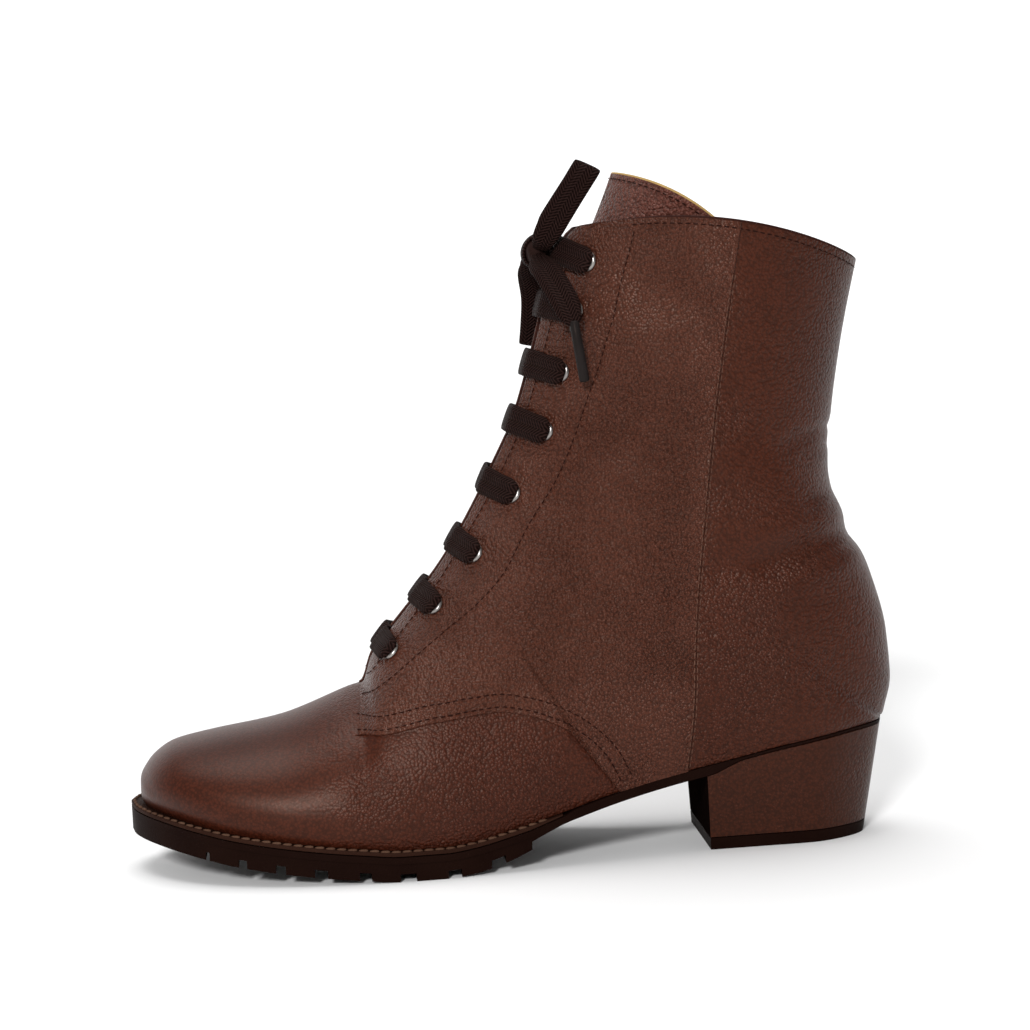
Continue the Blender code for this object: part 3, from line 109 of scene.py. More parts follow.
# The last, a row for each section. foot and top are the two ends of the section seen from the side:
# their x is a share of BOOT_LENGTH, and their height above the sole line is instep times
# INSTEP_HEIGHT plus shaft times SHAFT_HEIGHT. The widths are shares of LAST_WIDTH. widest is where
# along the section it is widest, crown and round are exponents of its upper and lower part, and
# bow lifts its middle by a share of SHAFT_HEIGHT.
LAST_COLUMNS = (
    "foot_x", "foot_shaft", "top_x", "top_instep", "top_shaft",
    "feather_out", "feather_in", "wide_out", "wide_in", "ridge_y",
    "widest", "crown", "round", "bow",
)
LAST = (
    (0.4835, 0.000, 0.4835, 0.000, 0.000, -0.087, 0.087, -0.087, 0.087, -0.087, 0.35, 2.20, 1.00, 0.000),
    (0.4788, 0.000, 0.4864, 0.074, 0.000, 0.005, 0.179, 0.013, 0.187, -0.087, 0.35, 2.20, 1.00, 0.000),
    (0.4666, 0.000, 0.4856, 0.171, 0.000, 0.098, 0.261, 0.112, 0.275, -0.087, 0.33, 2.20, 1.00, 0.000),
    (0.4469, 0.000, 0.4760, 0.279, 0.000, 0.190, 0.337, 0.209, 0.355, -0.085, 0.30, 2.20, 1.00, 0.000),
    (0.4146, 0.000, 0.4487, 0.425, 0.000, 0.291, 0.404, 0.314, 0.426, -0.083, 0.28, 2.15, 1.00, 0.000),
    (0.3625, 0.000, 0.3877, 0.573, 0.000, 0.391, 0.462, 0.415, 0.484, -0.077, 0.24, 2.05, 1.00, 0.000),
    (0.2907, 0.000, 0.2979, 0.739, 0.000, 0.463, 0.495, 0.487, 0.517, -0.062, 0.20, 1.90, 1.00, 0.000),
    (0.2154, 0.000, 0.1960, 1.000, 0.000, 0.496, 0.500, 0.521, 0.522, -0.038, 0.18, 1.75, 1.00, 0.000),
    (0.1651, 0.000, 0.1741, 1.000, 0.079, 0.500, 0.491, 0.524, 0.511, -0.030, 0.17, 1.62, 1.00, 0.000),
    (0.0933, 0.000, 0.1387, 1.000, 0.155, 0.489, 0.459, 0.513, 0.485, -0.023, 0.17, 1.60, 1.00, 0.000),
    (0.0000, 0.000, 0.1033, 1.000, 0.229, 0.446, 0.391, 0.478, 0.437, -0.019, 0.20, 1.58, 1.00, 0.000),
    (-0.1005, 0.000, 0.0733, 1.000, 0.296, 0.383, 0.332, 0.443, 0.409, -0.015, 0.30, 1.56, 1.00, 0.000),
    (-0.2046, 0.000, 0.0494, 1.000, 0.356, 0.335, 0.307, 0.420, 0.402, -0.011, 0.42, 1.55, 1.05, 0.000),
    (-0.3051, 0.000, 0.0319, 1.000, 0.404, 0.318, 0.311, 0.409, 0.398, -0.007, 0.47, 1.55, 1.15, 0.000),
    (-0.3877, 0.000, 0.0195, 1.000, 0.443, 0.304, 0.302, 0.404, 0.396, -0.003, 0.48, 1.54, 1.35, 0.000),
    (-0.4451, 0.000, 0.0107, 1.000, 0.471, 0.224, 0.222, 0.402, 0.395, 0.000, 0.48, 1.53, 1.60, 0.000),
    (-0.4756, 0.000, 0.0040, 1.000, 0.492, 0.120, 0.120, 0.400, 0.393, 0.000, 0.48, 1.52, 1.80, 0.000),
    (-0.4860, 0.000, -0.0015, 1.000, 0.509, 0.000, 0.000, 0.398, 0.391, 0.000, 0.48, 1.52, 2.00, 0.000),
    (-0.4925, 0.028, -0.0058, 1.000, 0.523, 0.000, 0.000, 0.397, 0.391, 0.000, 0.48, 1.50, 2.00, 0.000),
    (-0.5000, 0.090, -0.0123, 1.000, 0.547, 0.000, 0.000, 0.396, 0.391, 0.000, 0.48, 1.50, 2.00, 0.000),
    (-0.4965, 0.192, -0.0195, 1.000, 0.576, 0.000, 0.000, 0.393, 0.389, 0.000, 0.48, 1.50, 2.00, 0.000),
    (-0.4768, 0.329, -0.0295, 1.000, 0.619, 0.000, 0.000, 0.391, 0.387, 0.000, 0.49, 1.50, 2.00, 0.000),
    (-0.4458, 0.450, -0.0396, 1.000, 0.666, 0.000, 0.000, 0.391, 0.387, 0.000, 0.49, 1.50, 2.00, 0.000),
    (-0.4277, 0.562, -0.0496, 1.000, 0.716, 0.000, 0.000, 0.391, 0.387, 0.000, 0.50, 1.50, 2.00, 0.000),
    (-0.4343, 0.680, -0.0597, 1.000, 0.772, 0.000, 0.000, 0.395, 0.391, 0.000, 0.50, 1.50, 2.00, 0.007),
    (-0.4494, 0.829, -0.0733, 1.000, 0.839, 0.000, 0.000, 0.400, 0.397, 0.000, 0.50, 1.50, 2.00, 0.024),
    (-0.4742, 1.006, -0.0945, 1.000, 0.905, 0.000, 0.000, 0.405, 0.402, 0.000, 0.50, 1.50, 2.00, 0.052),
    (-0.4990, 1.156, -0.1358, 1.000, 1.023, 0.000, 0.000, 0.413, 0.413, 0.000, 0.50, 1.50, 2.00, 0.050),
)
# The sole line is the top of the sole along the foot: at x, a share of BOOT_LENGTH, it rises above
# its lowest stretch by toe times TOE_SPRING plus heel times the rise to the heel seat.
SOLE_LINE_COLUMNS = ("x", "toe", "heel")
SOLE_LINE = (
    (-0.520, 0.000, 1.000), (-0.480, 0.000, 0.998), (-0.445, 0.000, 0.985), (-0.348, 0.000, 0.860),
    (-0.260, 0.000, 0.705), (-0.208, 0.000, 0.615), (-0.125, 0.000, 0.455), (-0.047, 0.000, 0.268),
    (0.018, 0.000, 0.122), (0.065, 0.000, 0.034), (0.100, 0.000, 0.000), (0.158, 0.000, 0.000),
    (0.200, 0.080, 0.000), (0.250, 0.187, 0.000), (0.305, 0.330, 0.000), (0.370, 0.530, 0.000),
    (0.410, 0.690, 0.000), (0.460, 0.885, 0.000), (0.500, 1.000, 0.000), (0.520, 1.050, 0.000),
)
# How far the sole stands out from the feather line, as shares of WELT_LEDGE, along the fan
LEDGE_COLUMNS = ("section", "ledge")
LEDGE = (
    (0, 1.50), (3, 1.38), (5, 1.15), (7, 1.00), (8, 1.00), (9, 0.95), (10, 0.80), (11, 0.45),
    (12, 0.15), (17, 0.05),
)
# Thickness of the outsole to the ground between its lugs: nought is SEAT_THICKNESS, waist adds the
# step to WAIST_THICKNESS and core the step from there to the forefoot
LAYER_COLUMNS = ("x", "waist", "core")
LAYER = (
    (-0.520, 0.00, 0.00), (-0.290, 0.00, 0.00), (-0.240, 1.00, 0.00), (-0.060, 1.00, 0.00),
    (-0.030, 1.00, 0.24), (-0.0085, 1.00, 0.52), (0.020, 1.00, 0.85), (0.050, 1.00, 1.00),
    (0.520, 1.00, 1.00),
)
# Grooves between the lugs, from the front one backwards, as shares of BOOT_LENGTH
GROOVE_COLUMNS = ("front", "back")
GROOVES = (
    (0.4005, 0.3957), (0.3593, 0.3491), (0.3130, 0.3007), (0.2650, 0.2487), (0.2094, 0.1946),
    (0.1589, 0.1387), (0.0987, 0.0821), (0.0439, 0.0258),
)
# The lower edge of the quarter where it crosses the vamp: x as shares of BOOT_LENGTH, and the
# height above the sole line as shares of INSTEP_HEIGHT
VAMP_SEAM_COLUMNS = ("x", "height")
VAMP_SEAM = (
    (-0.126, -0.02), (-0.104, 0.266), (-0.074, 0.483), (-0.048, 0.614), (-0.007, 0.755),
    (0.030, 0.830), (0.068, 0.847), (0.101, 0.841), (0.142, 0.798), (0.177, 0.760), (0.205, 0.735),
    (0.300, 0.700),
)
VAMP_SEAM_END = -0.1245
# The seam between quarter and rear panel: height above the sole line as shares of SHAFT_HEIGHT,
# and x as shares of BOOT_LENGTH
REAR_SEAM_COLUMNS = ("height", "x")
REAR_SEAM = (
    (0.000, -0.214), (0.130, -0.224), (0.280, -0.229), (0.430, -0.239), (0.574, -0.2505),
    (0.740, -0.2645), (0.955, -0.2865), (1.140, -0.3080),
)
# Places along the sole, as shares of BOOT_LENGTH
MIDSOLE_END = -0.050
TREAD_END = -0.0085
HEEL_BREAST = -0.2390
# The tongue: the section where it starts under the vamp, then along the fan its half width and how
# far it sinks below the lining, as shares of LAST_WIDTH
TONGUE_START = 6.75
TONGUE_COLUMNS = ("section", "half_width", "sink")
TONGUE = (
    (6.75, 0.11, 0.014), (7.5, 0.13, 0.014), (9.5, 0.16, 0.000), (12, 0.21, 0.000),
    (17, 0.30, 0.000), (22, 0.46, 0.010), (25, 0.69, 0.050), (27, 0.78, 0.085),
)
# Places of the eyelets, as shares of the way from the first to the last
EYELET_PLACES = (0.000, 0.141, 0.288, 0.443, 0.596, 0.731, 0.871, 1.000)
# Middle lines of the bow's loops and ends, from the middle of the knot: forward from the throat, out
# towards the outer side and up along the throat, with the width there, all as shares of LACE_WIDTH
LOOP_UP = (
    (-0.02, 0.79, 0.12, 0.60), (0.02, 1.20, 0.34, 0.80), (-0.02, 1.46, 0.95, 1.00),
    (-0.12, 1.56, 1.80, 1.00), (-0.25, 1.56, 2.70, 1.00), (-0.34, 1.50, 3.28, 1.00),
    (-0.36, 1.36, 3.44, 1.00), (-0.34, 1.22, 3.28, 1.00), (-0.25, 1.19, 2.60, 1.00),
    (-0.12, 1.20, 1.80, 1.00), (-0.02, 1.14, 1.12, 1.00), (0.02, 0.98, 0.68, 0.80),
    (0.02, 0.79, 0.39, 0.55),
)
LOOP_DOWN = (
    (-0.02, -0.79, -0.12, 0.60), (-0.10, -1.35, -0.35, 0.85), (-0.40, -1.98, -0.85, 1.00),
    (-0.84, -2.42, -1.62, 1.00), (-1.18, -2.58, -2.45, 1.00), (-1.36, -2.54, -2.98, 1.00),
    (-1.41, -2.40, -3.14, 1.00), (-1.35, -2.26, -2.98, 1.00), (-1.14, -2.22, -2.35, 1.00),
    (-0.80, -2.06, -1.60, 1.00), (-0.40, -1.62, -1.02, 1.00), (-0.10, -1.14, -0.70, 0.80),
    (0.02, -0.79, -0.39, 0.55),
)
TAIL_OUT = (
    (-0.05, 0.79, -0.24, 0.45), (-0.20, 1.32, -0.42, 0.90), (-0.46, 1.84, -0.58, 1.00),
    (-0.80, 2.24, -0.84, 1.00), (-1.18, 2.56, -1.14, 1.00), (-1.60, 2.80, -1.51, 0.95),
    (-1.90, 2.90, -1.80, 0.70), (-2.03, 2.93, -1.94, 0.42),
)
TAIL_IN = (
    (-0.08, -0.79, 0.18, 0.45), (-0.42, -1.60, 0.22, 0.90), (-0.95, -2.45, 0.00, 1.00),
    (-1.60, -2.92, -0.55, 1.00), (-2.15, -3.08, -1.25, 1.00), (-2.55, -3.12, -1.85, 0.95),
    (-2.72, -3.13, -2.25, 0.70), (-2.78, -3.13, -2.43, 0.42),
)
# The way the width of each bow piece points, as parts forward and up
LOOP_UP_WAY = (1.0, 0.0)
LOOP_DOWN_WAY = (1.0, -0.30)
TAIL_OUT_WAY = (0.63, -0.78)
TAIL_IN_WAY = (0.80, -0.60)
# How the corner that the feet turn at the heel is rounded off further up
EASE_SPREAD = 3.0
EASE_REACH = 1.8
EASE_FULL = 0.45
# Lengths of the sole's rounded ends and the distance between its stations along x
HEEL_ROUND = 0.030
TOE_ROUND = 0.027
SOLE_STATION = 0.0024
STATION_CLEAR = 0.25
HEEL_STATION = 0.0030
SKIVE_LENGTH = 0.012
SKIVE_SHARE = 0.45
SKIVE_STEPS = 3
LEAST_STEP_SHARE = 0.35
TONGUE_LEAN = 0.05
TONGUE_PEAK = 1.4
KNOT_DROP = 0.003
AGLET_HANG = 1.2
# How far apart the last is sampled for its normals: a distance across and a part of a section
NORMAL_REACH = 0.0015
NORMAL_STEP = 0.08
# Numbers of mesh steps
SECTION_SAMPLES = 241
RING_SIDES = 32
ROUND_STEPS = 22
TONGUE_SPREAD = 1.5
TONGUE_COLUMN_COUNT = 40
# Steps of the fine meshes
ROWS_IN_SECTION = 9
LOW_POINTS = 22
HIGH_MIDDLE = 34
STRIP_POINTS = 8
EDGE_PLACES = (0.0, 0.00015, 0.0004, 0.0008, 0.0014)
LACE_SIDES = 18
EYELET_PROFILE_STEPS = 8
# Soft creases of the leather: x and z of both ends of a line seen from the side, its width and its
# depth, all in metres. A depth below nought is a swelling.
CREASES = (
    (-0.0880, 0.1020, -0.1255, 0.1095, 0.0046, 0.0030),
    (-0.0980, 0.0945, -0.1240, 0.1010, 0.0045, -0.0012),
    (-0.0900, 0.1130, -0.1220, 0.1165, 0.0045, -0.0009),
    (-0.1060, 0.1220, -0.1190, 0.1250, 0.0026, 0.0012),
    (-0.1000, 0.1430, -0.1215, 0.1485, 0.0024, 0.0015),
    (-0.1060, 0.1392, -0.1210, 0.1430, 0.0022, 0.0009),
    (-0.0680, 0.1000, -0.0930, 0.1035, 0.0060, 0.0016),
    (-0.0315, 0.1070, -0.0633, 0.1052, 0.0060, 0.0005),
    (-0.0300, 0.0960, -0.0560, 0.0900, 0.0050, 0.0005),
    (0.0060, 0.0650, -0.0600, 0.0745, 0.0050, -0.0007),
    (-0.0060, 0.0720, -0.0650, 0.0930, 0.0060, 0.0007),
    (-0.0150, 0.0900, -0.0660, 0.1060, 0.0060, -0.0007),
    (-0.0480, 0.2020, -0.0800, 0.1980, 0.0070, 0.0005),
)
# Rows of stitches as seen from the side, in metres
FACING_ROW = (
    (0.0544, 0.0611), (0.0431, 0.0690), (0.0321, 0.0776), (0.0218, 0.0855), (0.0123, 0.0928),
    (0.0026, 0.1029), (-0.0077, 0.1200), (-0.0183, 0.1353), (-0.0249, 0.1490), (-0.0309, 0.1649),
    (-0.0349, 0.1752), (-0.0381, 0.1849), (-0.0406, 0.1924), (-0.0435, 0.2035), (-0.0472, 0.2155),
    (-0.0490, 0.2215),
)
THROAT_ROW = (
    (0.0550, 0.0640), (0.0415, 0.0800), (0.0265, 0.0975), (0.0135, 0.1165), (0.0015, 0.1360),
    (-0.0085, 0.1560), (-0.0155, 0.1760), (-0.0215, 0.1960), (-0.0275, 0.2150),
)
REAR_ROW_OFFSETS = (0.0006, -0.0006)
VAMP_ROW_OFFSETS = (0.0020, 0.0063)
STITCH_LENGTH = 0.0019
STITCH_GAP = 0.0008
STITCH_WIDTH = 0.00044
WELT_STITCH = 0.0034
WELT_GAP = 0.0004
# The bands of each side: below the panels' seam, from there to the throat, and across to the ridge
BANDS = ("low", "high", "strip")
# Offsets in sections and weights of the neighbours that a section is eased with
BLEND_WEIGHTS = (
    (-0.9, 0.10), (-0.6, 0.13), (-0.3, 0.17), (0.0, 0.20), (0.3, 0.17), (0.6, 0.13), (0.9, 0.10),
)
BLEND_END = 0.16
BLEND_REACH = 1.6
# How the outer side turns over at its edges
SEAM_ROUND = 0.0008
SEAM_SHARE = 0.25
THROAT_ROUND = 0.0006
COLLAR_ROUND = 0.0009
SECTION_LENGTH = 0.012
CORNER_START = 25.45
CORNER_ROUND = 0.0055
RIM_STEPS = 5
# Sections where the facing's front edge rises, and steps of the tongue and the heel
STEP_ROWS = (0.0, 0.02, 0.06)
TONGUE_ROW_COUNT = 54
TONGUE_TOP_ROWS = 16
TONGUE_FIRST_RISE = 0.08
HEEL_LEVELS = 24
BREAST_FACING = 0.85
# How finely the last is sampled
FEATHER_STEP = 0.1
THROAT_STEP = 0.2
ACROSS_REACH = 2
ACROSS_SAMPLES = 17
THROAT_SAMPLES = 121
EASE_SAMPLES = 9
FOOT_SAMPLES = 600
# How far a crease runs on past its ends, how it fades there and how much it bows
CREASE_BEYOND = 0.2
CREASE_FADE = 0.55
CREASE_BOW = 0.12
# Steps along the seams' lines. The vamp's row starts at a share of BOOT_LENGTH, the rear one runs
# between shares of SHAFT_HEIGHT, and the collar's lies a part of a section below the edge.
DENSE_STEP = 0.0012
VAMP_ROW_POINTS = 70
REAR_ROW_POINTS = 90
VAMP_ROW_START = 0.2035
REAR_ROW_START = 0.004
REAR_ROW_END = 1.035
VAMP_ROW_CLEAR = 0.0012
COLLAR_ROW_FRONT = -0.048
COLLAR_ROW_DROP = 0.096
STITCH_RINGS = ((-0.5, 0.0), (-0.42, 0.7), (-0.22, 1.0), (0.22, 1.0), (0.42, 0.7), (0.5, 0.0))
STITCH_SIDES = 6
# Angles in degrees from which an edge stays sharp
SHARP = 60
UPPER_SHARP = 50
NO_SHARP = 180
# Widths of rounded edges
SOLE_EDGE = 0.00045
MIDSOLE_EDGE = 0.00035
HEEL_EDGE = 0.0005
LIFT_EDGE = 0.0004
SOCK_EDGE = 0.0006
TONGUE_EDGE = 0.0008
EYELET_DOME = 0.0009
WELT_START = 0.004
WELT_INSET = 0.0011
WELT_WIDTH = 0.0013
TONGUE_ROW_DROP = 0.0020
# A lace bar from the throat's middle outwards: a place across and how far beyond it, a height and how
# far above it, then its width and thickness as shares of LACE_WIDTH and LACE_THICKNESS
BAR_STATIONS = (
    ("ridge", 0.0, "sagging", 0.0, 1.00, 1.00),
    ("gap's half", 0.0, "rising", 0.0, 1.00, 1.00),
    ("gap", 0.0004, "low", 0.0003, 1.02, 1.10),
    ("facing", 0.0, "low", 0.0003, 1.00, 1.15),
    ("eyelet's edge", -0.0008, "low", 0.0006, 0.96, 1.15),
    ("eyelet's edge", 0.0012, "high", 0.0, 0.98, 1.15),
    ("eyelet", -0.0002, "high", 0.0001, 0.96, 1.20),
    ("eyelet", 0.0014, "high", -0.0001, 0.84, 1.30),
    ("eyelet", 0.0019, "high", -0.0010, 0.62, 1.35),
    ("eyelet", 0.0010, "last", 0.0008, 0.38, 1.35),
    ("eyelet", 0.0, "last", -0.0022, 0.32, 1.30),
)
BAR_RISE = 0.0013
BAR_SAG_SIDE = 0.55
BAR_POINTS = 90
BOW_POINTS = 96
BOW_FOLD = 1.1
# A lace's section is a square circle with these exponents across and through it
LACE_ACROSS = 0.75
LACE_THROUGH = 0.62
# The knot's core and the turn of lace over it, in shares of the knot's sizes
KNOT_STATIONS = 15
KNOT_POINTS = 24
KNOT_SHARE = 0.92
KNOT_ROUND = 0.6
KNOT_WAVE = 0.05
KNOT_TWIST = 2.2
BAND_POINTS = 60
BAND_TURN = 2.5
BAND_DEPTH = 0.49
BAND_SWING = 0.16
BAND_HEIGHT = 0.52
BAND_WIDTH = 0.86
BAND_SHIFT = 0.0002
# A tip's profile: share of its length, share of AGLET_RADIUS and how flat it is there
TIP_PROFILE = (
    (0.0, 0.80, 0.8), (0.03, 1.05, 0.85), (0.30, 1.05, 0.85), (0.5, 1.0, 0.9), (0.96, 0.95, 0.95),
    (0.99, 0.86, 0.9), (1.0, 0.6, 0.7),
)
TIP_SIDES = 20
TIP_OVERLAP = 0.0012
# Refractive indices, where a higher one shines more, and the tint of what shines
DULL_INDEX = 1.12
LACE_INDEX = 1.13
LEATHER_INDEX = 1.31
SHINE_TINT = (1.0, 0.72, 0.60, 1.0)
# Leathers: two colours, roughness, depth and size of the pebbles in metres, and the two x values
# between which they fade out towards the toe. The vamp's and the rear panel's colours are darker than
# the quarter's as painted shade.
LEATHERS = {
    "leather_vamp": ((0.049, 0.0104, 0.0044), (0.041, 0.0084, 0.0035), 0.40, 0.00050, 0.0011, (0.045, 0.082)),
    "leather_quarter": ((0.066, 0.0194, 0.0108), (0.055, 0.0148, 0.0076), 0.28, 0.00105, 0.0010),
    "leather_rear": ((0.049, 0.0108, 0.0046), (0.040, 0.0084, 0.0034), 0.35, 0.00060, 0.0011),
    "leather_heel": ((0.038, 0.0084, 0.0034), (0.031, 0.0070, 0.0028), 0.40, 0.00024, 0.0011),
    "leather_tongue": ((0.112, 0.0370, 0.0270), (0.085, 0.0260, 0.0170), 0.24, 0.0011, 0.0012),
    "lining_tan": ((0.50, 0.36, 0.19), (0.44, 0.30, 0.15), 0.7, 0.00008, 0.0012),
}
# Other finishes: two colours, roughness, scale and depth of the grain, and whether it is metal
PLAINS = {
    "leather_edge": ((0.028, 0.0085, 0.0060), (0.022, 0.0070, 0.0050), 0.6, 900.0, 0.0001),
    "edge_tan": ((0.42, 0.28, 0.10), (0.30, 0.19, 0.07), 0.6, 900.0, 0.0001),
    "thread_dark": ((0.018, 0.0060, 0.0044), (0.013, 0.0046, 0.0036), 0.7, 4000.0, 0.0001),
    "thread_cream": ((0.120, 0.0600, 0.0420), (0.085, 0.0400, 0.0280), 0.7, 4000.0, 0.0001),
    "welt_thread": ((0.090, 0.0480, 0.0310), (0.066, 0.033, 0.021), 0.65, 3000.0, 0.00015),
    "welt": ((0.024, 0.0095, 0.0060), (0.018, 0.0070, 0.0045), 0.6, 1600.0, 0.00015),
    "rubber": ((0.0058, 0.0018, 0.0012), (0.0080, 0.0028, 0.0018), 0.6, 1400.0, 0.00012),
    "heel_breast": ((0.0062, 0.0032, 0.0026), (0.0045, 0.0024, 0.0020), 0.55, 900.0, 0.0001),
    "eyelet_metal": ((0.36, 0.34, 0.32), (0.28, 0.26, 0.25), 0.30, 500.0, 0.00002, 1.0),
    "tip_dark": ((0.012, 0.0100, 0.0095), (0.018, 0.015, 0.0145), 0.34, 1200.0, 0.0001),
}
# The lace's colours: the first, dark one lies in the grooves of the weave as painted shade, the second on its
# ribs
LACE_COLOURS = ((0.0044, 0.0018, 0.0015), (0.026, 0.0125, 0.0108))
# The weave: half the width of its fold, the slant and width of its ribs, and its lengthwise rows
WEAVE_FOLD = 0.0026
WEAVE_SLANT = 0.9
WEAVE_RIB = 0.00125
WEAVE_ROW = 0.0013
WEAVE_DEPTH = 0.00035
# The stage: the floor and the slope behind it, and the lights
FLOOR_COLOUR = (0.88, 0.88, 0.88)
FLOOR_HALF_WIDTH = 12.0
FLOOR_ROUGHNESS = 0.95
FLOOR_ROWS = (5.0, 1.0, -1.0)
BACKDROP_ROWS = 9
BACKDROP_START = 2.0
BACKDROP_BEND = 1.4
BACKDROP_SLOPE = math.radians(45)
BACKDROP_LENGTH = 6.0
WORLD_STRENGTH = 0.36
# Name, where the light comes from, its width in degrees and its strength
LIGHTS = (
    ("key", (0.32, 1.0, 0.52), 10.0, 2.5),
    ("top", (0.10, -0.15, 1.0), 40.0, 1.7),
)
CAMERA_DISTANCE = 1.0
CAMERA_AZIMUTH = 176.0
CAMERA_ELEVATION = 5.0
CAMERA_ROLL = 2.7
CAMERA_TARGET = (-0.0047, 0.0, 0.1215)
CAMERA_LENS = 96.55
CAMERA_SENSOR = 36.0
CAMERA_REACH = 60.0


@functools.lru_cache(maxsize=None)
def column(table, names, name):
    """One named column of a table, as an array."""
    return np.array([row[names.index(name)] for row in table], dtype=float)


def curve(table, names, name, places):
    """A named column of a table over its first one, as a smooth curve read at these places."""
    return smooth(column(table, names, names[0]), column(table, names, name), places)


def lengths_along(points):
    """The length along a line from its first point to each one."""
    return np.concatenate([[0], np.cumsum(np.linalg.norm(np.diff(points, axis=0), axis=1))])


def unit(vector):
    return vector / np.linalg.norm(vector)


def units(vectors):
    """The unit vectors of an array's rows."""
    return vectors / np.linalg.norm(vectors, axis=-1)[..., None]


def smooth(xs, ys, x):
    """A smooth curve through the points that never overshoots between two of them."""
    xs = np.asarray(xs, dtype=float)
    ys = np.asarray(ys, dtype=float)
    steps = np.diff(xs)
    rates = np.diff(ys) / steps
    before = rates[:-1]
    after = rates[1:]
    same_way = before * after > 0
    low_weight = 2 * steps[1:] + steps[:-1]
    high_weight = steps[1:] + 2 * steps[:-1]
    safe_before = np.where(same_way, before, 1.0)
    safe_after = np.where(same_way, after, 1.0)
    mean = (low_weight + high_weight) / (low_weight / safe_before + high_weight / safe_after)
    slopes = np.concatenate([rates[:1], np.where(same_way, mean, 0.0), rates[-1:]])
    x = np.asarray(x, dtype=float)
    index = np.clip(np.searchsorted(xs, x) - 1, 0, len(xs) - 2)
    width = steps[index]
    t = np.clip((x - xs[index]) / width, 0.0, 1.0)
    start = ys[index] * (1 + 2 * t) * (1 - t) ** 2 + slopes[index] * width * t * (1 - t) ** 2
    end = ys[index + 1] * t ** 2 * (3 - 2 * t) - slopes[index + 1] * width * t ** 2 * (1 - t)
    return start + end


def sole_line(x):
    """Height of the sole's top line at x."""
    share = np.asarray(x, dtype=float) / BOOT_LENGTH
    toe = curve(SOLE_LINE, SOLE_LINE_COLUMNS, "toe", share)
    heel = curve(SOLE_LINE, SOLE_LINE_COLUMNS, "heel", share)
    return SOLE_THICKNESS + toe * TOE_SPRING + heel * (HEEL_HEIGHT - SOLE_THICKNESS)


@functools.lru_cache(maxsize=None)
def last_values(section):
    """Every column of the last's table at a section number, whole or not."""
    numbers = np.arange(len(LAST))
    return {
        name: float(smooth(numbers, column(LAST, LAST_COLUMNS, name), section))
        for name in LAST_COLUMNS
    }


def foot_places(sections):
    """x and z of the feet of these sections."""
    numbers = np.arange(len(LAST))
    x = smooth(numbers, column(LAST, LAST_COLUMNS, "foot_x"), sections) * BOOT_LENGTH
    shaft = smooth(numbers, column(LAST, LAST_COLUMNS, "foot_shaft"), sections)
    return x, sole_line(x) + shaft * SHAFT_HEIGHT


def eased_feet(section, along):
    """The foot's x and z as seen from each place along a section.

    The feet turn a corner at the heel. Further up the section that corner is rounded off, so that
    the side of the boot has no crease above it.
    """
    near_corner = math.exp(-(((section - HEEL_CORNER) / EASE_SPREAD) ** 2))
    reach = EASE_REACH * near_corner * np.clip(along / EASE_FULL, 0, 1) ** 2
    offsets = np.linspace(-1, 1, EASE_SAMPLES)
    sections = section + reach[:, None] * offsets[None, :]
    x, z = foot_places(sections)
    return x.mean(axis=1), z.mean(axis=1)


@functools.lru_cache(maxsize=None)
def section_line(section, side):
    """Points of one side of a section, from its foot to its ridge, and the length along them."""
    row = last_values(section)
    along = 0.5 - 0.5 * np.cos(np.pi * np.linspace(0, 1, SECTION_SAMPLES))
    foot_x, foot_z = eased_feet(section, along)
    top_x = row["top_x"] * BOOT_LENGTH
    top_z = sole_line(top_x) + row["top_instep"] * INSTEP_HEIGHT + row["top_shaft"] * SHAFT_HEIGHT
    hand = "out" if side > 0 else "in"
    feather = row["feather_" + hand] * LAST_WIDTH
    wide = row["wide_" + hand] * LAST_WIDTH
    ridge = side * row["ridge_y"] * LAST_WIDTH
    low = np.clip(along / row["widest"], 0, 1)
    high = np.clip((along - row["widest"]) / (1 - row["widest"]), 0, 1)
    below = feather + (wide - feather) * (1 - (1 - low) ** 2) ** (1 / row["round"])
    above = ridge + (wide - ridge) * (1 - high ** 2) ** (1 / row["crown"])
    points = np.empty((SECTION_SAMPLES, 3))
    points[:, 0] = foot_x + along * (top_x - foot_x)
    points[:, 1] = side * np.where(along < row["widest"], below, above)
    bow = row["bow"] * SHAFT_HEIGHT * 4 * along * (1 - along)
    points[:, 2] = foot_z + along * (top_z - foot_z) + bow
    return points, lengths_along(points)


def at_length(points, lengths, wanted):
    """The point at a length along a section."""
    return np.array([np.interp(wanted, lengths, points[:, axis]) for axis in range(3)]).T


def last_point(section, side, from_ridge):
    """The point of the last at a distance from the ridge, along one side of a section."""
    points, lengths = section_line(section, side)
    return at_length(points, lengths, lengths[-1] - from_ridge)


@functools.lru_cache(maxsize=None)
def last_at(section, across):
    """The last's point at a distance across from the ridge, above nought on the outer side."""
    return last_point(section, 1 if across >= 0 else -1, abs(across))


def above_last(section, across, height):
    """The point at this height above the last, and the outward normal there."""
    sideways = last_at(section, across + NORMAL_REACH) - last_at(section, across - NORMAL_REACH)
    onwards = last_at(section + NORMAL_STEP, across) - last_at(section - NORMAL_STEP, across)
    normal = unit(np.cross(sideways, onwards))
    return last_at(section, across) + normal * height, normal


def throat_direction(section):
    """Unit direction up the middle of the throat."""
    return unit(last_at(section + THROAT_STEP, 0.0) - last_at(section - THROAT_STEP, 0.0))


@functools.lru_cache(maxsize=None)
def section_across(section, across):
    """The section that lies straight across from the ridge of another, at a distance from it."""
    ridge = last_at(section, 0.0)
    direction = throat_direction(section)
    near = section + np.linspace(-ACROSS_REACH, ACROSS_REACH, ACROSS_SAMPLES)
    ahead = [np.dot(last_at(float(number), across) - ridge, direction) for number in near]
    return float(np.interp(0, ahead, near))


def straight_across(section, across, height):
    """As above_last, but measured straight across the throat from the ridge of a section."""
    return above_last(section_across(section, across), across, height)


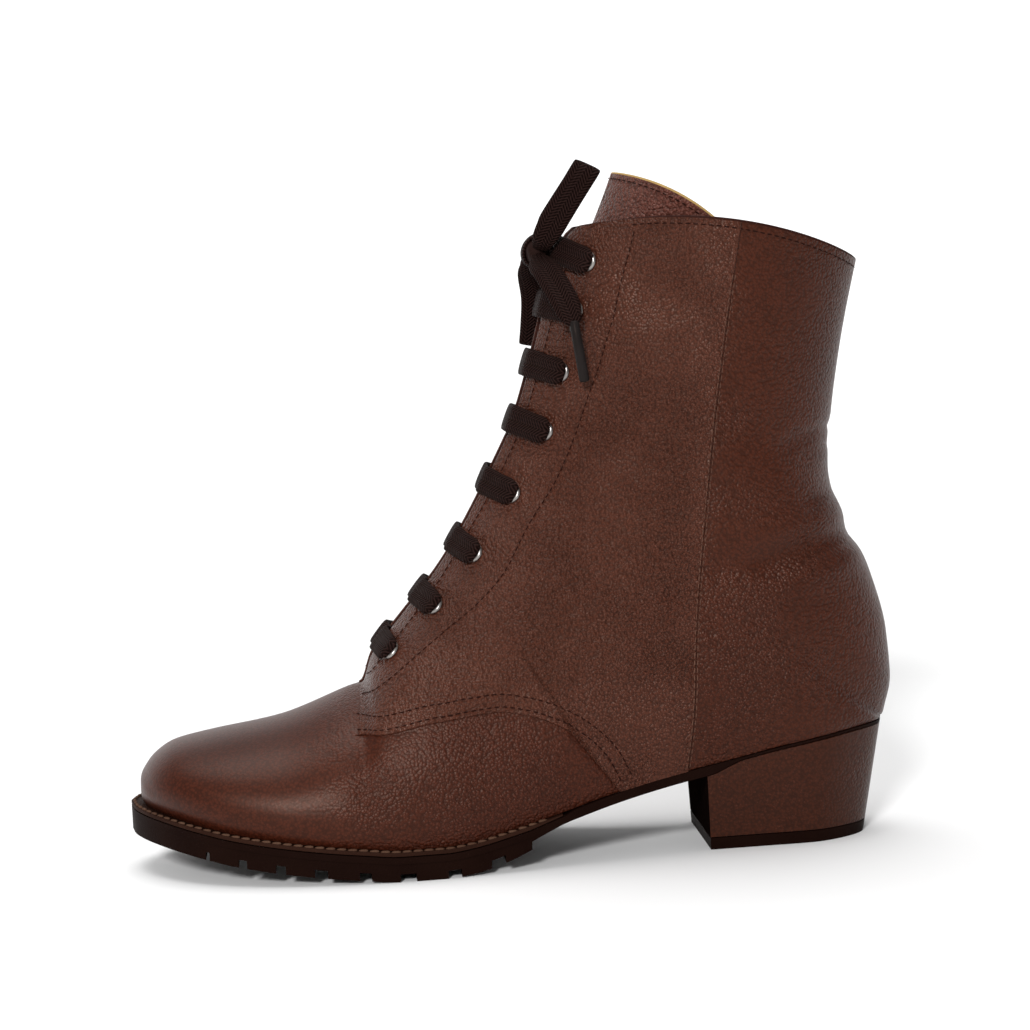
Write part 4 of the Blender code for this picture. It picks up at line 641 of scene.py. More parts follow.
def half_gap(section):
    """Half the width of the throat between the facings, which flares towards the collar."""
    share = np.clip((section - THROAT_START) / (COLLAR - THROAT_START), 0, 1)
    return THROAT_GAP / 2 + THROAT_FLARE / 2 * share ** 2


def height_above_sole(points):
    return points[:, 2] - sole_line(points[:, 0])


def vamp_height(x):
    """Height above the sole line of the quarter's lower edge at x."""
    return curve(VAMP_SEAM, VAMP_SEAM_COLUMNS, "height", x / BOOT_LENGTH) * INSTEP_HEIGHT


def rear_place(height):
    """x of the rear panel's seam at a height above the sole line."""
    return curve(REAR_SEAM, REAR_SEAM_COLUMNS, "x", height / SHAFT_HEIGHT) * BOOT_LENGTH


def vamp_side(points):
    """Below nought where a point is under the quarter's lower edge."""
    return height_above_sole(points) - vamp_height(points[:, 0])


def rear_side(points):
    """Below nought where a point is behind the rear panel's seam."""
    return points[:, 0] - rear_place(height_above_sole(points))


def crossing(section, side, sign_of):
    """Share of a section's length, from its foot, where a seam crosses it."""
    points, lengths = section_line(section, side)
    signs = sign_of(points)
    if signs[0] >= 0:
        return 0.0
    first = int(np.argmax(signs >= 0))
    part = signs[first - 1] / (signs[first - 1] - signs[first])
    return float((lengths[first - 1] + part * (lengths[first] - lengths[first - 1])) / lengths[-1])


def section_at_foot(x):
    """The section whose foot stands at x on the feather line."""
    sections = np.linspace(0, HEEL_CORNER, FOOT_SAMPLES)
    return float(np.interp(-x, -foot_places(sections)[0], sections))


@functools.lru_cache(maxsize=None)
def seam_ends():
    """The sections where the vamp's seam and the rear panel's seam meet the sole."""
    rear_foot = REAR_SEAM[0][REAR_SEAM_COLUMNS.index("x")]
    return section_at_foot(VAMP_SEAM_END * BOOT_LENGTH), section_at_foot(rear_foot * BOOT_LENGTH)


def panel_edge(section, side):
    """Share along a section of the seam that it crosses: the vamp's in front, the rear panel's behind."""
    vamp_end, rear_start = seam_ends()
    if section < vamp_end:
        return crossing(max(section, FACING_FRONT), side, vamp_side)
    return 0.0 if section <= rear_start else crossing(section, side, rear_side)


def feather_loop(offset):
    """Plan points of the feather line moved outwards by what offset gives at a section.

    They run from the heel by the outer side to the toe and back by the inner one.
    """
    steps = np.round(np.arange(0, HEEL_CORNER + FEATHER_STEP / 2, FEATHER_STEP), 3)
    sections = np.concatenate([steps[::-1], steps[1:]])
    sides = np.concatenate([np.ones(len(steps)), -np.ones(len(steps) - 1)])
    points = np.array([
        section_line(float(section), int(side))[0][0][:2] for section, side in zip(sections, sides)
    ])
    tangents = np.gradient(points, axis=0)
    normals = units(np.stack([-tangents[:, 1], tangents[:, 0]], axis=1))
    loop = points + normals * np.array([offset(section) for section in sections])[:, None]
    loop[0] = loop[-1] = (loop[0] + loop[-1]) / 2
    return loop


class Outline:
    """A plan outline as its two sides over x."""

    def __init__(self, loop):
        toe = int(np.argmax(loop[:, 0]))
        self.outer = loop[:toe + 1]
        self.inner = loop[toe:][::-1]
        self.front = float(loop[toe, 0])
        self.back = float(loop[0, 0])

    def half(self, x, side):
        """y of one side at x."""
        line = self.outer if side > 0 else self.inner
        return float(np.interp(x, line[:, 0], line[:, 1]))

    def stations(self, back, front, step, also=()):
        """x values from back to front, close together at a rounded end."""
        round_back = back <= self.back + FIT_GAP
        round_front = front >= self.front - FIT_GAP
        start = back + (HEEL_ROUND if round_back else 0)
        end = front - (TOE_ROUND if round_front else 0)
        turn = np.linspace(0, math.pi / 2, ROUND_STEPS + 1)
        count = max(1, round((end - start) / step))
        places = list(np.linspace(start, end, count + 1))
        if round_back:
            places += list(back + HEEL_ROUND * (1 - np.cos(turn[:-1])))
        if round_front:
            places += list(front - TOE_ROUND * (1 - np.cos(turn[:-1])))
        fixed = [back, front] + [x for x in also if back < x < front]
        near = STATION_CLEAR * step
        kept = [x for x in places if all(abs(x - other) > near for other in fixed)]
        turned_back = [x for x in places if FIT_GAP / 2 < x - back < HEEL_ROUND]
        turned_front = [x for x in places if FIT_GAP / 2 < front - x < TOE_ROUND]
        return sorted(set(kept + turned_back + turned_front + fixed))


@functools.lru_cache(maxsize=None)
def sole_outline():
    return Outline(feather_loop(
        lambda section: float(curve(LEDGE, LEDGE_COLUMNS, "ledge", section)) * WELT_LEDGE
    ))


@functools.lru_cache(maxsize=None)
def insole_outline():
    return Outline(feather_loop(lambda section: -(UPPER_WALL + 3 * FIT_GAP)))


def plate_ring(outline, x, levels):
    """The ring of points round a plate at x. levels holds a step inwards and a height for each edge."""
    outer = outline.half(x, 1)
    inner = outline.half(x, -1)
    half = (outer - inner) / 2
    down = [(x, outer - min(step, half), z) for step, z in levels]
    up = [(x, inner + min(step, half), z) for step, z in reversed(levels)]
    return down + up


def layer_share(x, name):
    return float(curve(LAYER, LAYER_COLUMNS, name, x / BOOT_LENGTH))


def ground_depth(x):
    """Depth below the sole line of the outsole's underside between its lugs."""
    waist = layer_share(x, "waist") * (WAIST_THICKNESS - SEAT_THICKNESS)
    core = layer_share(x, "core") * (SOLE_THICKNESS - LUG_DEPTH - WAIST_THICKNESS)
    return SEAT_THICKNESS + waist + core


def midsole_depth(x):
    """Depth below the sole line of the midsole's underside, which is skived thin at its end."""
    skived = np.interp(x - MIDSOLE_END * BOOT_LENGTH, [0, SKIVE_LENGTH], [SKIVE_SHARE, 1])
    return FIT_GAP + MIDSOLE_THICKNESS * float(skived)


def outsole_top_depth(x):
    """Depth below the sole line of the outsole's top, which rises behind the midsole's end."""
    end = MIDSOLE_END * BOOT_LENGTH - FIT_GAP
    if x >= end:
        return midsole_depth(x) + FIT_GAP
    rise = np.clip((end - x) / SKIVE_LENGTH * SKIVE_STEPS, 0, 1)
    return FIT_GAP + (midsole_depth(end) * (1 - float(rise)))


def groove_places():
    """Front and back of each groove between the lugs, in metres."""
    fronts = column(GROOVES, GROOVE_COLUMNS, "front") * BOOT_LENGTH
    backs = column(GROOVES, GROOVE_COLUMNS, "back") * BOOT_LENGTH
    return list(zip(fronts, backs))


def outsole_ring(x, lug):
    """The ring round the outsole at x, with or without a lug underneath."""
    line = float(sole_line(x))
    top = line - outsole_top_depth(x)
    ground = line - ground_depth(x)
    share = layer_share(x, "core")
    step = max(line - SIDE_STEP_DROP, ground + LEAST_STEP_SHARE * (top - ground))
    tread = max(ground - LUG_DEPTH, 0.0) if lug else ground
    inset = SIDE_STEP * share
    levels = [(0.0, top), (0.0, step), (inset, step), (inset, ground), (inset, tread)]
    return plate_ring(sole_outline(), x, levels)


def outsole_rings():
    """Rings from the heel to the toe, two at each place where the underside steps up or down."""
    outline = sole_outline()
    tread_end = TREAD_END * BOOT_LENGTH
    grooves = groove_places()
    lug_starts = {tread_end} | {front for front, _ in grooves}
    groove_starts = {back for _, back in grooves}
    midsole_end = MIDSOLE_END * BOOT_LENGTH - FIT_GAP
    also = sorted(lug_starts | groove_starts) + [midsole_end, midsole_end - SKIVE_LENGTH / SKIVE_STEPS]
    rings = []
    lug = False
    for x in outline.stations(outline.back, outline.front, SOLE_STATION, also):
        rings.append(outsole_ring(x, lug))
        if x in lug_starts or x in groove_starts:
            lug = x in lug_starts
            rings.append(outsole_ring(x, lug))
    return rings


def heel_point(x, side, z, seat_z):
    """A point of the heel's side, on the line from the seat's outline at x down to the floor."""
    outline = sole_outline()
    front = HEEL_BREAST * BOOT_LENGTH
    drop = 1 - z / seat_z
    rake = HEEL_BACK_RAKE / (front - outline.back)
    taper = HEEL_TAPER / outline.half(front, 1)
    lower_x = front + (x - front) * (1 - rake * drop) - HEEL_FRONT_LEAN * drop
    return (lower_x, outline.half(x, side) * (1 - taper * drop), z)


def heel_rings(level_heights):
    """Rings of the heel from its back to its breast, between heights given for a seat height."""
    outline = sole_outline()
    rings = []
    for x in outline.stations(outline.back, HEEL_BREAST * BOOT_LENGTH, HEEL_STATION):
        seat_z = float(sole_line(x)) - ground_depth(x) - FIT_GAP
        heights = level_heights(seat_z)
        down = [heel_point(x, 1, z, seat_z) for z in heights]
        up = [heel_point(x, -1, z, seat_z) for z in reversed(heights)]
        rings.append(down + up)
    return rings


def tongue_row(section, rise):
    """Points across the tongue's front side at a section, and their normals. rise lifts it on up."""
    half, sink = (
        float(curve(TONGUE, TONGUE_COLUMNS, name, section)) * LAST_WIDTH for name in TONGUE_COLUMNS[1:]
    )
    up = throat_direction(section)
    points = []
    normals = []
    for share in np.linspace(-1, 1, TONGUE_COLUMN_COUNT + 1):
        point, normal = above_last(section, float(share) * half, -(UPPER_WALL + TONGUE_GAP + sink))
        lift = rise * TONGUE_TOP_RISE * (1 - abs(share) ** TONGUE_PEAK)
        points.append(point + up * lift + np.array([TONGUE_LEAN * lift * rise, 0.0, 0.0]))
        normals.append(normal)
    return np.array(points), np.array(normals)


def eyelet_sections():
    """The section of each eyelet pair along the throat."""
    sections = np.linspace(THROAT_START, COLLAR, THROAT_SAMPLES)
    line = np.array([last_at(float(section), 0.0) for section in sections])
    lengths = lengths_along(line)
    way = lengths[-1] - LAST_EYELET_DISTANCE - FIRST_EYELET_DISTANCE
    wanted = FIRST_EYELET_DISTANCE + way * np.array(EYELET_PLACES)
    return [float(section) for section in np.interp(wanted, lengths, sections)]


def eyelet_reach(section):
    """Distance across from the ridge to the middle of an eyelet."""
    share = (section - THROAT_START) / (COLLAR - THROAT_START)
    return half_gap(section) + EYELET_INSET + EYELET_FLARE * share


def turned(section, side, profile):
    """Rings of a turned piece on an eyelet's axis. profile holds radius and height above the last."""
    across = side * eyelet_reach(section)
    middle, axis = straight_across(section, across, 0.0)
    first = unit(np.cross(axis, [0.0, 1.0, 0.0]))
    second = np.cross(axis, first)
    rings = []
    for i in range(RING_SIDES):
        angle = 2 * math.pi * i / RING_SIDES
        way = first * math.cos(angle) + second * math.sin(angle)
        rings.append([middle + way * radius + axis * height for radius, height in profile])
    return rings


class BowFrame:
    """The middle of the knot in front of the top bar, with its forward, outward and up directions."""

    def __init__(self):
        section = eyelet_sections()[-1]
        bar_front = PANEL_STEP + 2 * FIT_GAP + LACE_THICKNESS - BAR_SAG
        middle, self.forward = straight_across(section, 0.0, bar_front + FIT_GAP + KNOT_DEPTH / 2)
        self.up = throat_direction(section)
        self.out = unit(np.cross(self.up, self.forward))
        self.middle = middle - self.up * KNOT_DROP

    def place(self, forward, out, up):
        return self.middle + self.forward * forward + self.out * out + self.up * up


class Finish:
    """A Principled material under construction."""

    def __init__(self, name, colour, roughness, metallic=0.0, index=DULL_INDEX):
        self.made = bpy.data.materials.new(name)
        self.made.use_nodes = True
        self.made.diffuse_color = (*colour, 1.0)
        self.shader = self.made.node_tree.nodes["Principled BSDF"]
        self.put(self.shader, {
            "Base Color": (*colour, 1.0), "Roughness": roughness, "Metallic": metallic, "IOR": index,
            "Specular Tint": SHINE_TINT,
        })

    def put(self, node, values):
        """Links a node's inputs to the sockets among these values, and sets its other ones."""
        for name, value in values.items():
            if isinstance(value, bpy.types.NodeSocket):
                self.made.node_tree.links.new(value, node.inputs[name])
            else:
                node.inputs[name].default_value = value

    def add(self, kind, output, values=None, **settings):
        """An output of a new node with these settings and inputs."""
        node = self.made.node_tree.nodes.new("ShaderNode" + kind)
        for name, value in settings.items():
            setattr(node, name, value)
        self.put(node, values or {})
        return node.outputs[output]

    def maths(self, operation, *values):
        return self.add("Math", "Value", dict(enumerate(values)), operation=operation)

    def ranged(self, value, start, end, low, high, **settings):
        """A value's range from start to end, turned into one from low to high."""
        limits = {"Value": value, "From Min": start, "From Max": end, "To Min": low, "To Max": high}
        return self.add("MapRange", "Result", limits, **settings)

    def mixed(self, share, colour, other, start=0.0, end=1.0):
        """A colour that turns into another one from the start to the end of a share."""
        ramp = self.made.node_tree.nodes.new("ShaderNodeValToRGB")
        for element, place, shade in zip(ramp.color_ramp.elements, (start, end), (colour, other)):
            element.position = place
            element.color = (*shade, 1.0)
        self.put(ramp, {"Fac": share})
        return ramp.outputs["Color"]

    def clouded(self, place, colour, other, scale):
        """Two colours mixed in soft clouds."""
        clouds = self.add("TexNoise", "Fac", {"Vector": place, "Scale": scale, "Detail": 4.0})
        return self.mixed(clouds, colour, other, 0.35, 0.68)


def leather(name, colour, other, roughness, grain, cell, smooth_from=None):
    """Pebbled leather. grain is the depth of the pebbles and cell their size, in metres. Beyond
    smooth_from, a pair of x values, the pebbles fade out."""
    finish = Finish(name, colour, roughness, index=LEATHER_INDEX)
    add = finish.add
    place = add("NewGeometry", "Position")
    tint = finish.clouded(place, colour, other, 22.0)
    warp = add("TexNoise", "Color", {"Vector": place, "Scale": 0.6 / cell, "Detail": 2.0})
    moved = add("VectorMath", "Vector", {0: warp, 1: [cell * 0.9] * 3, 2: place}, operation="MULTIPLY_ADD")
    pebbles = add("TexVoronoi", "Distance", {"Vector": moved, "Scale": 1.0 / cell}, feature="F1")
    pores = add("TexNoise", "Fac", {"Vector": place, "Scale": 1.7 / cell, "Detail": 3.0})
    patches = add("TexNoise", "Fac", {"Vector": place, "Scale": 38.0})
    power = finish.ranged(patches, 0.30, 0.66, 0.35, 1.0)
    if smooth_from:
        x = add("SeparateXYZ", "X", {"Vector": place})
        fade = finish.ranged(x, *smooth_from, 1.0, 0.08, interpolation_type="SMOOTHSTEP")
        power = finish.maths("MULTIPLY", power, fade)
    bump = add("Bump", "Normal", {"Strength": power, "Distance": grain, "Height": pebbles}, invert=True)
    fine = {"Strength": power, "Distance": grain * 0.3, "Height": pores, "Normal": bump}
    # The colour is scaled from 1.12 on the pebbles down to 0.62 in the valleys between them: painted shade.
    valley_shade = finish.ranged(pebbles, 0.25, 0.70, 1.12, 0.62)
    shade = add("VectorMath", "Vector", {0: tint, "Scale": valley_shade}, operation="SCALE")
    # Pale specks where the pores' noise is high, mixed into the colour: painted glints.
    glint_amount = finish.maths("MULTIPLY", finish.ranged(pores, 0.60, 0.74, 0.0, 0.40), power)
    pale = (*[3.2 * part + 0.02 for part in colour], 1.0)
    finish.put(finish.shader, {
        "Base Color": add("Mix", "Result", {"Factor": glint_amount, "A": shade, "B": pale}, data_type="RGBA"),
        "Roughness": finish.ranged(pores, 0.0, 1.0, roughness - 0.08, roughness + 0.12),
        "Normal": add("Bump", "Normal", fine),
    })
    return finish.made


def plain_surface(name, colour, other, roughness, scale, depth, metallic=0.0):
    """Rubber, lining, thread or metal: a soft tint and a fine grain."""
    finish = Finish(name, colour, roughness, metallic)
    place = finish.add("NewGeometry", "Position")
    grain = finish.add("TexNoise", "Fac", {"Vector": place, "Scale": scale, "Detail": 4.0})
    finish.put(finish.shader, {
        "Base Color": finish.clouded(place, colour, other, 60.0),
        "Normal": finish.add("Bump", "Normal", {"Distance": depth, "Height": grain}),
    })
    return finish.made


def woven(name, colour, other):
    """Flat woven cord: slanting ribs that meet in the middle, from the mesh's own UV in metres."""
    finish = Finish(name, colour, 0.60, index=LACE_INDEX)
    maths = finish.maths
    uv = finish.add("UVMap", "UV")
    along, across = (finish.add("SeparateXYZ", axis, {"Vector": uv}) for axis in "XY")
    fold = maths("PINGPONG", across, WEAVE_FOLD)
    slant = maths("ADD", along, maths("MULTIPLY", fold, WEAVE_SLANT))
    ribs = maths("SINE", maths("MULTIPLY", slant, 2 * math.pi / WEAVE_RIB))
    rows = maths("SINE", maths("MULTIPLY", across, 2 * math.pi / WEAVE_ROW))
    height = maths("ADD", ribs, maths("MULTIPLY", rows, 0.35))
    bump = {"Strength": 0.9, "Distance": WEAVE_DEPTH, "Height": height}
    # The colour runs from the dark one in the grooves between the ribs, as painted shade, to the light one on
    # their tops.
    finish.put(finish.shader, {
        "Base Color": finish.mixed(maths("MULTIPLY_ADD", height, 0.5), colour, other),
        "Normal": finish.add("Bump", "Normal", bump),
    })
    return finish.made


def show(obj, slot, *nodes):
    """The piece moves with the boot and stands for these nodes. slot is not used."""
    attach(obj, "root")
    if nodes:
        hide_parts(*nodes)
    return obj


def finish_mesh(name, points, faces, materials, indices=None, sharp_degrees=40, merge=True):
    """A smooth mesh object whose coinciding points are merged and whose faces point outwards."""
    mesh = bpy.data.meshes.new(name)
    mesh.from_pydata([tuple(point) for point in points], [], faces)
    for finish in materials:
        mesh.materials.append(finish)
    if indices is not None:
        mesh.polygons.foreach_set("material_index", indices)
    if merge:
        work = bmesh.new()
        work.from_mesh(mesh)
        bmesh.ops.remove_doubles(work, verts=work.verts, dist=2e-6)
        bmesh.ops.recalc_face_normals(work, faces=work.faces)
        work.to_mesh(mesh)
        work.free()
    mesh.shade_smooth()
    mesh.set_sharp_from_angle(angle=math.radians(sharp_degrees))
    made = bpy.data.objects.new(name, mesh)
    bpy.context.scene.collection.objects.link(made)
    return made


def ring_faces(count, sides):
    """Faces between rings of points that close on themselves."""
    number = np.arange(count * sides).reshape(count, sides)
    after = np.roll(number, -1, axis=1)
    return np.stack([number[:-1], after[:-1], after[1:], number[1:]], axis=-1).reshape(-1, 4)


def from_rings(name, rings, finishes, start_cap=False, end_cap=False, sharp_degrees=35):
    """A mesh through rings of equally many points, closed at an end where a cap is asked for."""
    rings = np.array(rings)
    count, sides = rings.shape[:2]
    faces = ring_faces(count, sides).tolist()
    if start_cap:
        faces.append(list(range(sides))[::-1])
    if end_cap:
        faces.append(list(range((count - 1) * sides, count * sides)))
    return finish_mesh(name, rings.reshape(-1, 3), faces, finishes, sharp_degrees=sharp_degrees)


class Grids:
    """Grids of points that become one mesh, each with its material."""

    def __init__(self):
        self.points = []
        self.faces = []
        self.indices = []
        self.count = 0

    def add(self, grid, index, flip=False):
        """Adds a grid of points. index is a number, or an array with one for each face."""
        rows, columns = grid.shape[:2]
        number = self.count + np.arange(rows * columns).reshape(rows, columns)
        faces = np.stack([number[:-1, :-1], number[:-1, 1:], number[1:, 1:], number[1:, :-1]], axis=-1)
        if flip:
            faces = faces[..., ::-1]
        self.points.append(grid.reshape(-1, 3))
        self.faces += faces.reshape(-1, 4).tolist()
        self.indices += np.broadcast_to(index, faces.shape[:2]).reshape(-1).tolist()
        self.count += rows * columns

    def mesh(self, name, finishes, sharp_degrees):
        points = np.concatenate(self.points)
        return finish_mesh(name, points, self.faces, finishes, self.indices, sharp_degrees)


def grid_normals(grids, flips):
    """Unit normals of several grids that share points, smooth across their shared edges."""
    flat = np.concatenate([grid.reshape(-1, 3) for grid in grids])
    _, merged = np.unique(np.round(flat * 1e6).astype(np.int64), axis=0, return_inverse=True)
    merged = merged.reshape(-1)
    totals = np.zeros((merged.max() + 1, 3))
    start = 0
    for grid, flip in zip(grids, flips):
        rows, columns = grid.shape[:2]
        across = grid[1:, 1:] - grid[:-1, :-1]
        along = grid[1:, :-1] - grid[:-1, 1:]
        normal = np.cross(across, along) * (-1 if flip else 1)
        number = start + np.arange(rows * columns).reshape(rows, columns)
        for corner in (number[:-1, :-1], number[:-1, 1:], number[1:, 1:], number[1:, :-1]):
            np.add.at(totals, merged[corner].reshape(-1), normal.reshape(-1, 3))
        start += rows * columns
    normals = totals[merged]
    normals /= np.maximum(np.linalg.norm(normals, axis=1), 1e-15)[:, None]
    if np.sum(normals * (flat - flat.mean(axis=0))) < 0:
        normals = -normals
    ends = np.cumsum([grid.shape[0] * grid.shape[1] for grid in grids])[:-1]
    return [part.reshape(grid.shape) for part, grid in zip(np.split(normals, ends), grids)]


def rounded(distance, radius):
    """Nought at an edge and one from radius on, in a quarter of a circle."""
    share = np.clip(distance / radius, 0, 1)
    return np.sqrt(1 - (1 - share) ** 2)


def crease_height(points):
    """How far the creases lift the leather at these points."""
    height = np.zeros(points.shape[:-1])
    x = points[..., 0]
    z = points[..., 2]
    for x_1, z_1, x_2, z_2, width, depth in CREASES:
        along_x = x_2 - x_1
        along_z = z_2 - z_1
        size = along_x ** 2 + along_z ** 2
        share = ((x - x_1) * along_x + (z - z_1) * along_z) / size
        share = np.clip(share, -CREASE_BEYOND, 1 + CREASE_BEYOND)
        gone = np.exp(-((share - 0.5) / CREASE_FADE) ** 4)
        bend = CREASE_BOW * math.sqrt(size) * (share - share ** 2)
        distance = np.hypot(x - x_1 - share * along_x, z - z_1 - share * along_z - bend)
        height -= depth * gone * np.exp(-(distance / width) ** 2)
    return height


def fine_sections():
    """Sections close together, with every one where a seam or an edge starts or ends."""
    step_rows = [FACING_FRONT + beyond for beyond in STEP_ROWS]
    fixed = [0.0, *step_rows, THROAT_START, *seam_ends(), float(HEEL_CORNER), float(COLLAR)]
    rows = []
    for start, end in zip(fixed[:-1], fixed[1:]):
        count = max(1, math.ceil((end - start) * ROWS_IN_SECTION))
        rows += [start + (end - start) * i / count for i in range(count)]
    return rows + [float(COLLAR)]


def eased_line(section, side):
    """A section's line with its neighbours' shape blended in round the heel's corner, where the
    sections turn. Its foot and its ridge stay."""
    reach = math.exp(-((section - HEEL_CORNER) / BLEND_REACH) ** 2)
    wanted = np.linspace(0, 1, SECTION_SAMPLES)
    total = np.zeros((SECTION_SAMPLES, 3))
    for offset, weight in BLEND_WEIGHTS:
        points, lengths = section_line(float(np.clip(section + offset * reach, 0, COLLAR)), side)
        line = at_length(points, lengths / lengths[-1], wanted)
        total += line * weight
        if offset == 0:
            own = line
    share = np.clip(np.minimum(wanted, 1 - wanted) / BLEND_END, 0, 1)
    share = (share * share * (3 - 2 * share))[:, None]
    points = own + (total - own) * share
    return points, lengths_along(points)


def throat_edge(section):
    """Half the throat's gap, wider where the facing's corner is rounded at the collar."""
    turn = np.clip((section - CORNER_START) / (COLLAR - CORNER_START), 0, 1)
    return half_gap(section) + CORNER_ROUND * (1 - math.sqrt(1 - turn ** 2))


def base_bands(sections):
    """Points of the last for both sides, with distances from the seam and from the throat's edge."""
    bands = {}
    for side in (1, -1):
        band = {name: [] for name in (*BANDS, "seam", "throat", "on_sole")}
        for section in sections:
            points, lengths = eased_line(section, side)
            total = lengths[-1]
            gap = total - min(throat_edge(section), total / 2)
            edge = min(panel_edge(section, side) * total, gap)
            near = np.minimum(EDGE_PLACES, (gap - edge) / 4)
            middle = np.linspace(near[-1], gap - edge - near[-1], HIGH_MIDDLE + 2)[1:-1]
            along = np.concatenate([near, middle, (gap - edge - near)[::-1]])
            band["low"].append(at_length(points, lengths, edge * np.linspace(0, 1, LOW_POINTS)))
            band["high"].append(at_length(points, lengths, edge + along))
            band["strip"].append(at_length(points, lengths, np.linspace(gap, total, STRIP_POINTS)))
            band["seam"].append(along if edge > 0 else along + 1.0)
            band["throat"].append(gap - edge - along)
            band["on_sole"].append(edge == 0)
        bands[side] = {name: np.array(values) for name, values in band.items()}
    return bands


def flattened(normals, rows, column):
    """Turns the normals of a column level in these rows, so that what stands on the sole stays there."""
    level = normals[rows, column] * np.array([1.0, 1.0, 0.0])
    level /= np.maximum(np.linalg.norm(level, axis=-1), 1e-9)[..., None]
    normals[rows, column] = level


def rim(outer, inner, way, bulge):
    """Rows that turn from an outer edge to an inner one, bulging along way."""
    rows = []
    for angle in np.linspace(0, math.pi, RIM_STEPS + 1):
        share = (1 - math.cos(angle)) / 2
        rows.append(outer + (inner - outer) * share + way * bulge * math.sin(angle))
    return np.array(rows)


def make_upper(finishes):
    """The outer side of vamp, quarters and rear panel with its edges, and the lining."""
    sections = fine_sections()
    numbers = np.array(sections)
    bands = base_bands(sections)
    order = [(side, name) for side in (1, -1) for name in BANDS]
    normals = grid_normals([bands[side][name] for side, name in order], [side < 0 for side, _ in order])
    normal = dict(zip(order, normals))
    front = sections.index(float(FACING_FRONT))
    throat = sections.index(THROAT_START)
    feet = numbers <= HEEL_CORNER
    grids = Grids()
    lining = Grids()
    for side in (1, -1):
        flip = side < 0
        base = bands[side]
        on_sole = base["on_sole"]
        flattened(normal[side, "low"], feet, 0)
        flattened(normal[side, "high"], feet & on_sole, 0)

        def lifted(name, height):
            """A band's points, lifted by its creases and this height."""
            return base[name] + normal[side, name] * (crease_height(base[name]) + height)[..., None]

        from_front = np.clip(numbers - FACING_FRONT, 0, None)[:, None] * SECTION_LENGTH
        step = rounded(base["seam"], SEAM_ROUND) * rounded(from_front, SEAM_ROUND)
        raised = PANEL_STEP * (SEAM_SHARE + (1 - SEAM_SHARE) * step)
        raised = raised - THROAT_ROUND * (1 - rounded(base["throat"], THROAT_ROUND))
        high = lifted("high", np.where(numbers[:, None] >= FACING_FRONT, raised, 0.0))
        low = lifted("low", 0.0)
        strip = base["strip"]
        grids.add(low, np.where((numbers[:-1] < seam_ends()[0])[:, None], 0, 2), flip)
        grids.add(high[:front + 1], 0, flip)
        grids.add(high[front:], 1, flip)
        grids.add(strip[:throat + 1], 0, flip)
        grids.add(np.stack([low[front:, -1], high[front:, 0]], axis=1), 3, flip)
        grids.add(np.stack([lifted("high", 0.0)[front], high[front]], axis=0), 3, flip)
        within = {name: lifted(name, -UPPER_WALL) for name in BANDS}
        lining.add(within["low"], 0, not flip)
        lining.add(within["high"], 0, not flip)
        lining.add(within["strip"][:throat + 1], 0, not flip)
        foot_out = np.where(on_sole[:, None], high[:, 0], low[:, 0])
        foot_in = np.where(on_sole[:, None], within["high"][:, 0], within["low"][:, 0])
        grids.add(np.stack([foot_in, foot_out], axis=1)[feet], 3, flip)
        towards = units(high[throat:, -1] - high[throat:, -4])
        edge = rim(high[throat:, -1], within["high"][throat:, -1], towards, THROAT_ROUND)
        grids.add(np.swapaxes(edge, 0, 1), 3, flip)
        lip = np.stack([high[front:throat + 1, -1], strip[front:throat + 1, 0]], axis=1)
        grids.add(lip, 3, flip)
        grids.add(np.stack([strip[throat], within["strip"][throat]], axis=0), 3, flip)
        for name, outer in (("low", low), ("high", high)):
            up = units(outer[-1] - outer[-3])
            grids.add(rim(outer[-1], within[name][-1], up, COLLAR_ROUND), 3, flip)
    upper = grids.mesh("boot_upper", finishes[:4], UPPER_SHARP)
    return upper, lining.mesh("boot_lining", finishes[4:], UPPER_SHARP)


def stitch_shape():
    """Points and faces of one stitch, one unit long and two units wide."""
    angles = [2 * math.pi * i / STITCH_SIDES for i in range(STITCH_SIDES)]
    points = [(along, size * math.cos(a), size * math.sin(a)) for along, size in STITCH_RINGS for a in angles]
    return np.array(points), ring_faces(len(STITCH_RINGS), STITCH_SIDES)


def stitches(name, rows, finish, length=STITCH_LENGTH, gap=STITCH_GAP, width=STITCH_WIDTH, sink=0.15):
    """One mesh of all the stitches along rows, each a pair of points and outward normals."""
    shape, shape_faces = stitch_shape()
    points = []
    faces = []
    for line, normals in rows:
        lengths = lengths_along(line)
        count = max(1, int(lengths[-1] / (length + gap)))
        for middle in (np.arange(count) + 0.5) * lengths[-1] / count:
            place, start, end = (at_length(line, lengths, middle + length * s) for s in (0, -1 / 3, 1 / 3))
            normal = unit(at_length(normals, lengths, middle))
            way = unit(end - start - normal * np.dot(end - start, normal))
            side = np.cross(normal, way)
            made = (place + normal * width * sink + shape[:, :1] * way * length
                    + shape[:, 1:2] * side * width / 2 + shape[:, 2:3] * normal * width / 2)
            faces += (shape_faces + len(points)).tolist()
            points += made.tolist()
    return finish_mesh(name, points, faces, [finish], merge=False, sharp_degrees=NO_SHARP)


def dense(line):
    """The same line with points a small step apart, its corners rounded a little."""
    line = np.array(line, dtype=float)
    lengths = lengths_along(line)
    places = np.linspace(0, lengths[-1], max(3, int(lengths[-1] / DENSE_STEP)))
    return np.stack([smooth(lengths, line[:, i], places) for i in range(line.shape[1])], axis=1)


def on_side(tree, line, side):
    """Points and normals where a line seen from the side lies on the boot."""
    points = []
    normals = []
    for x, z in line:
        start = Vector((x, side * BOOT_LENGTH, z))
        place, normal, _, _ = tree.ray_cast(start, Vector((0, -side, 0)))
        if place is not None:
            points.append(place)
            normals.append(normal)
    return np.array(points), np.array(normals)


def beside(line, distance):
    """The line moved sideways in its own plane."""
    tangents = units(np.gradient(line, axis=0))
    return line + np.stack([-tangents[:, 1], tangents[:, 0]], axis=1) * distance


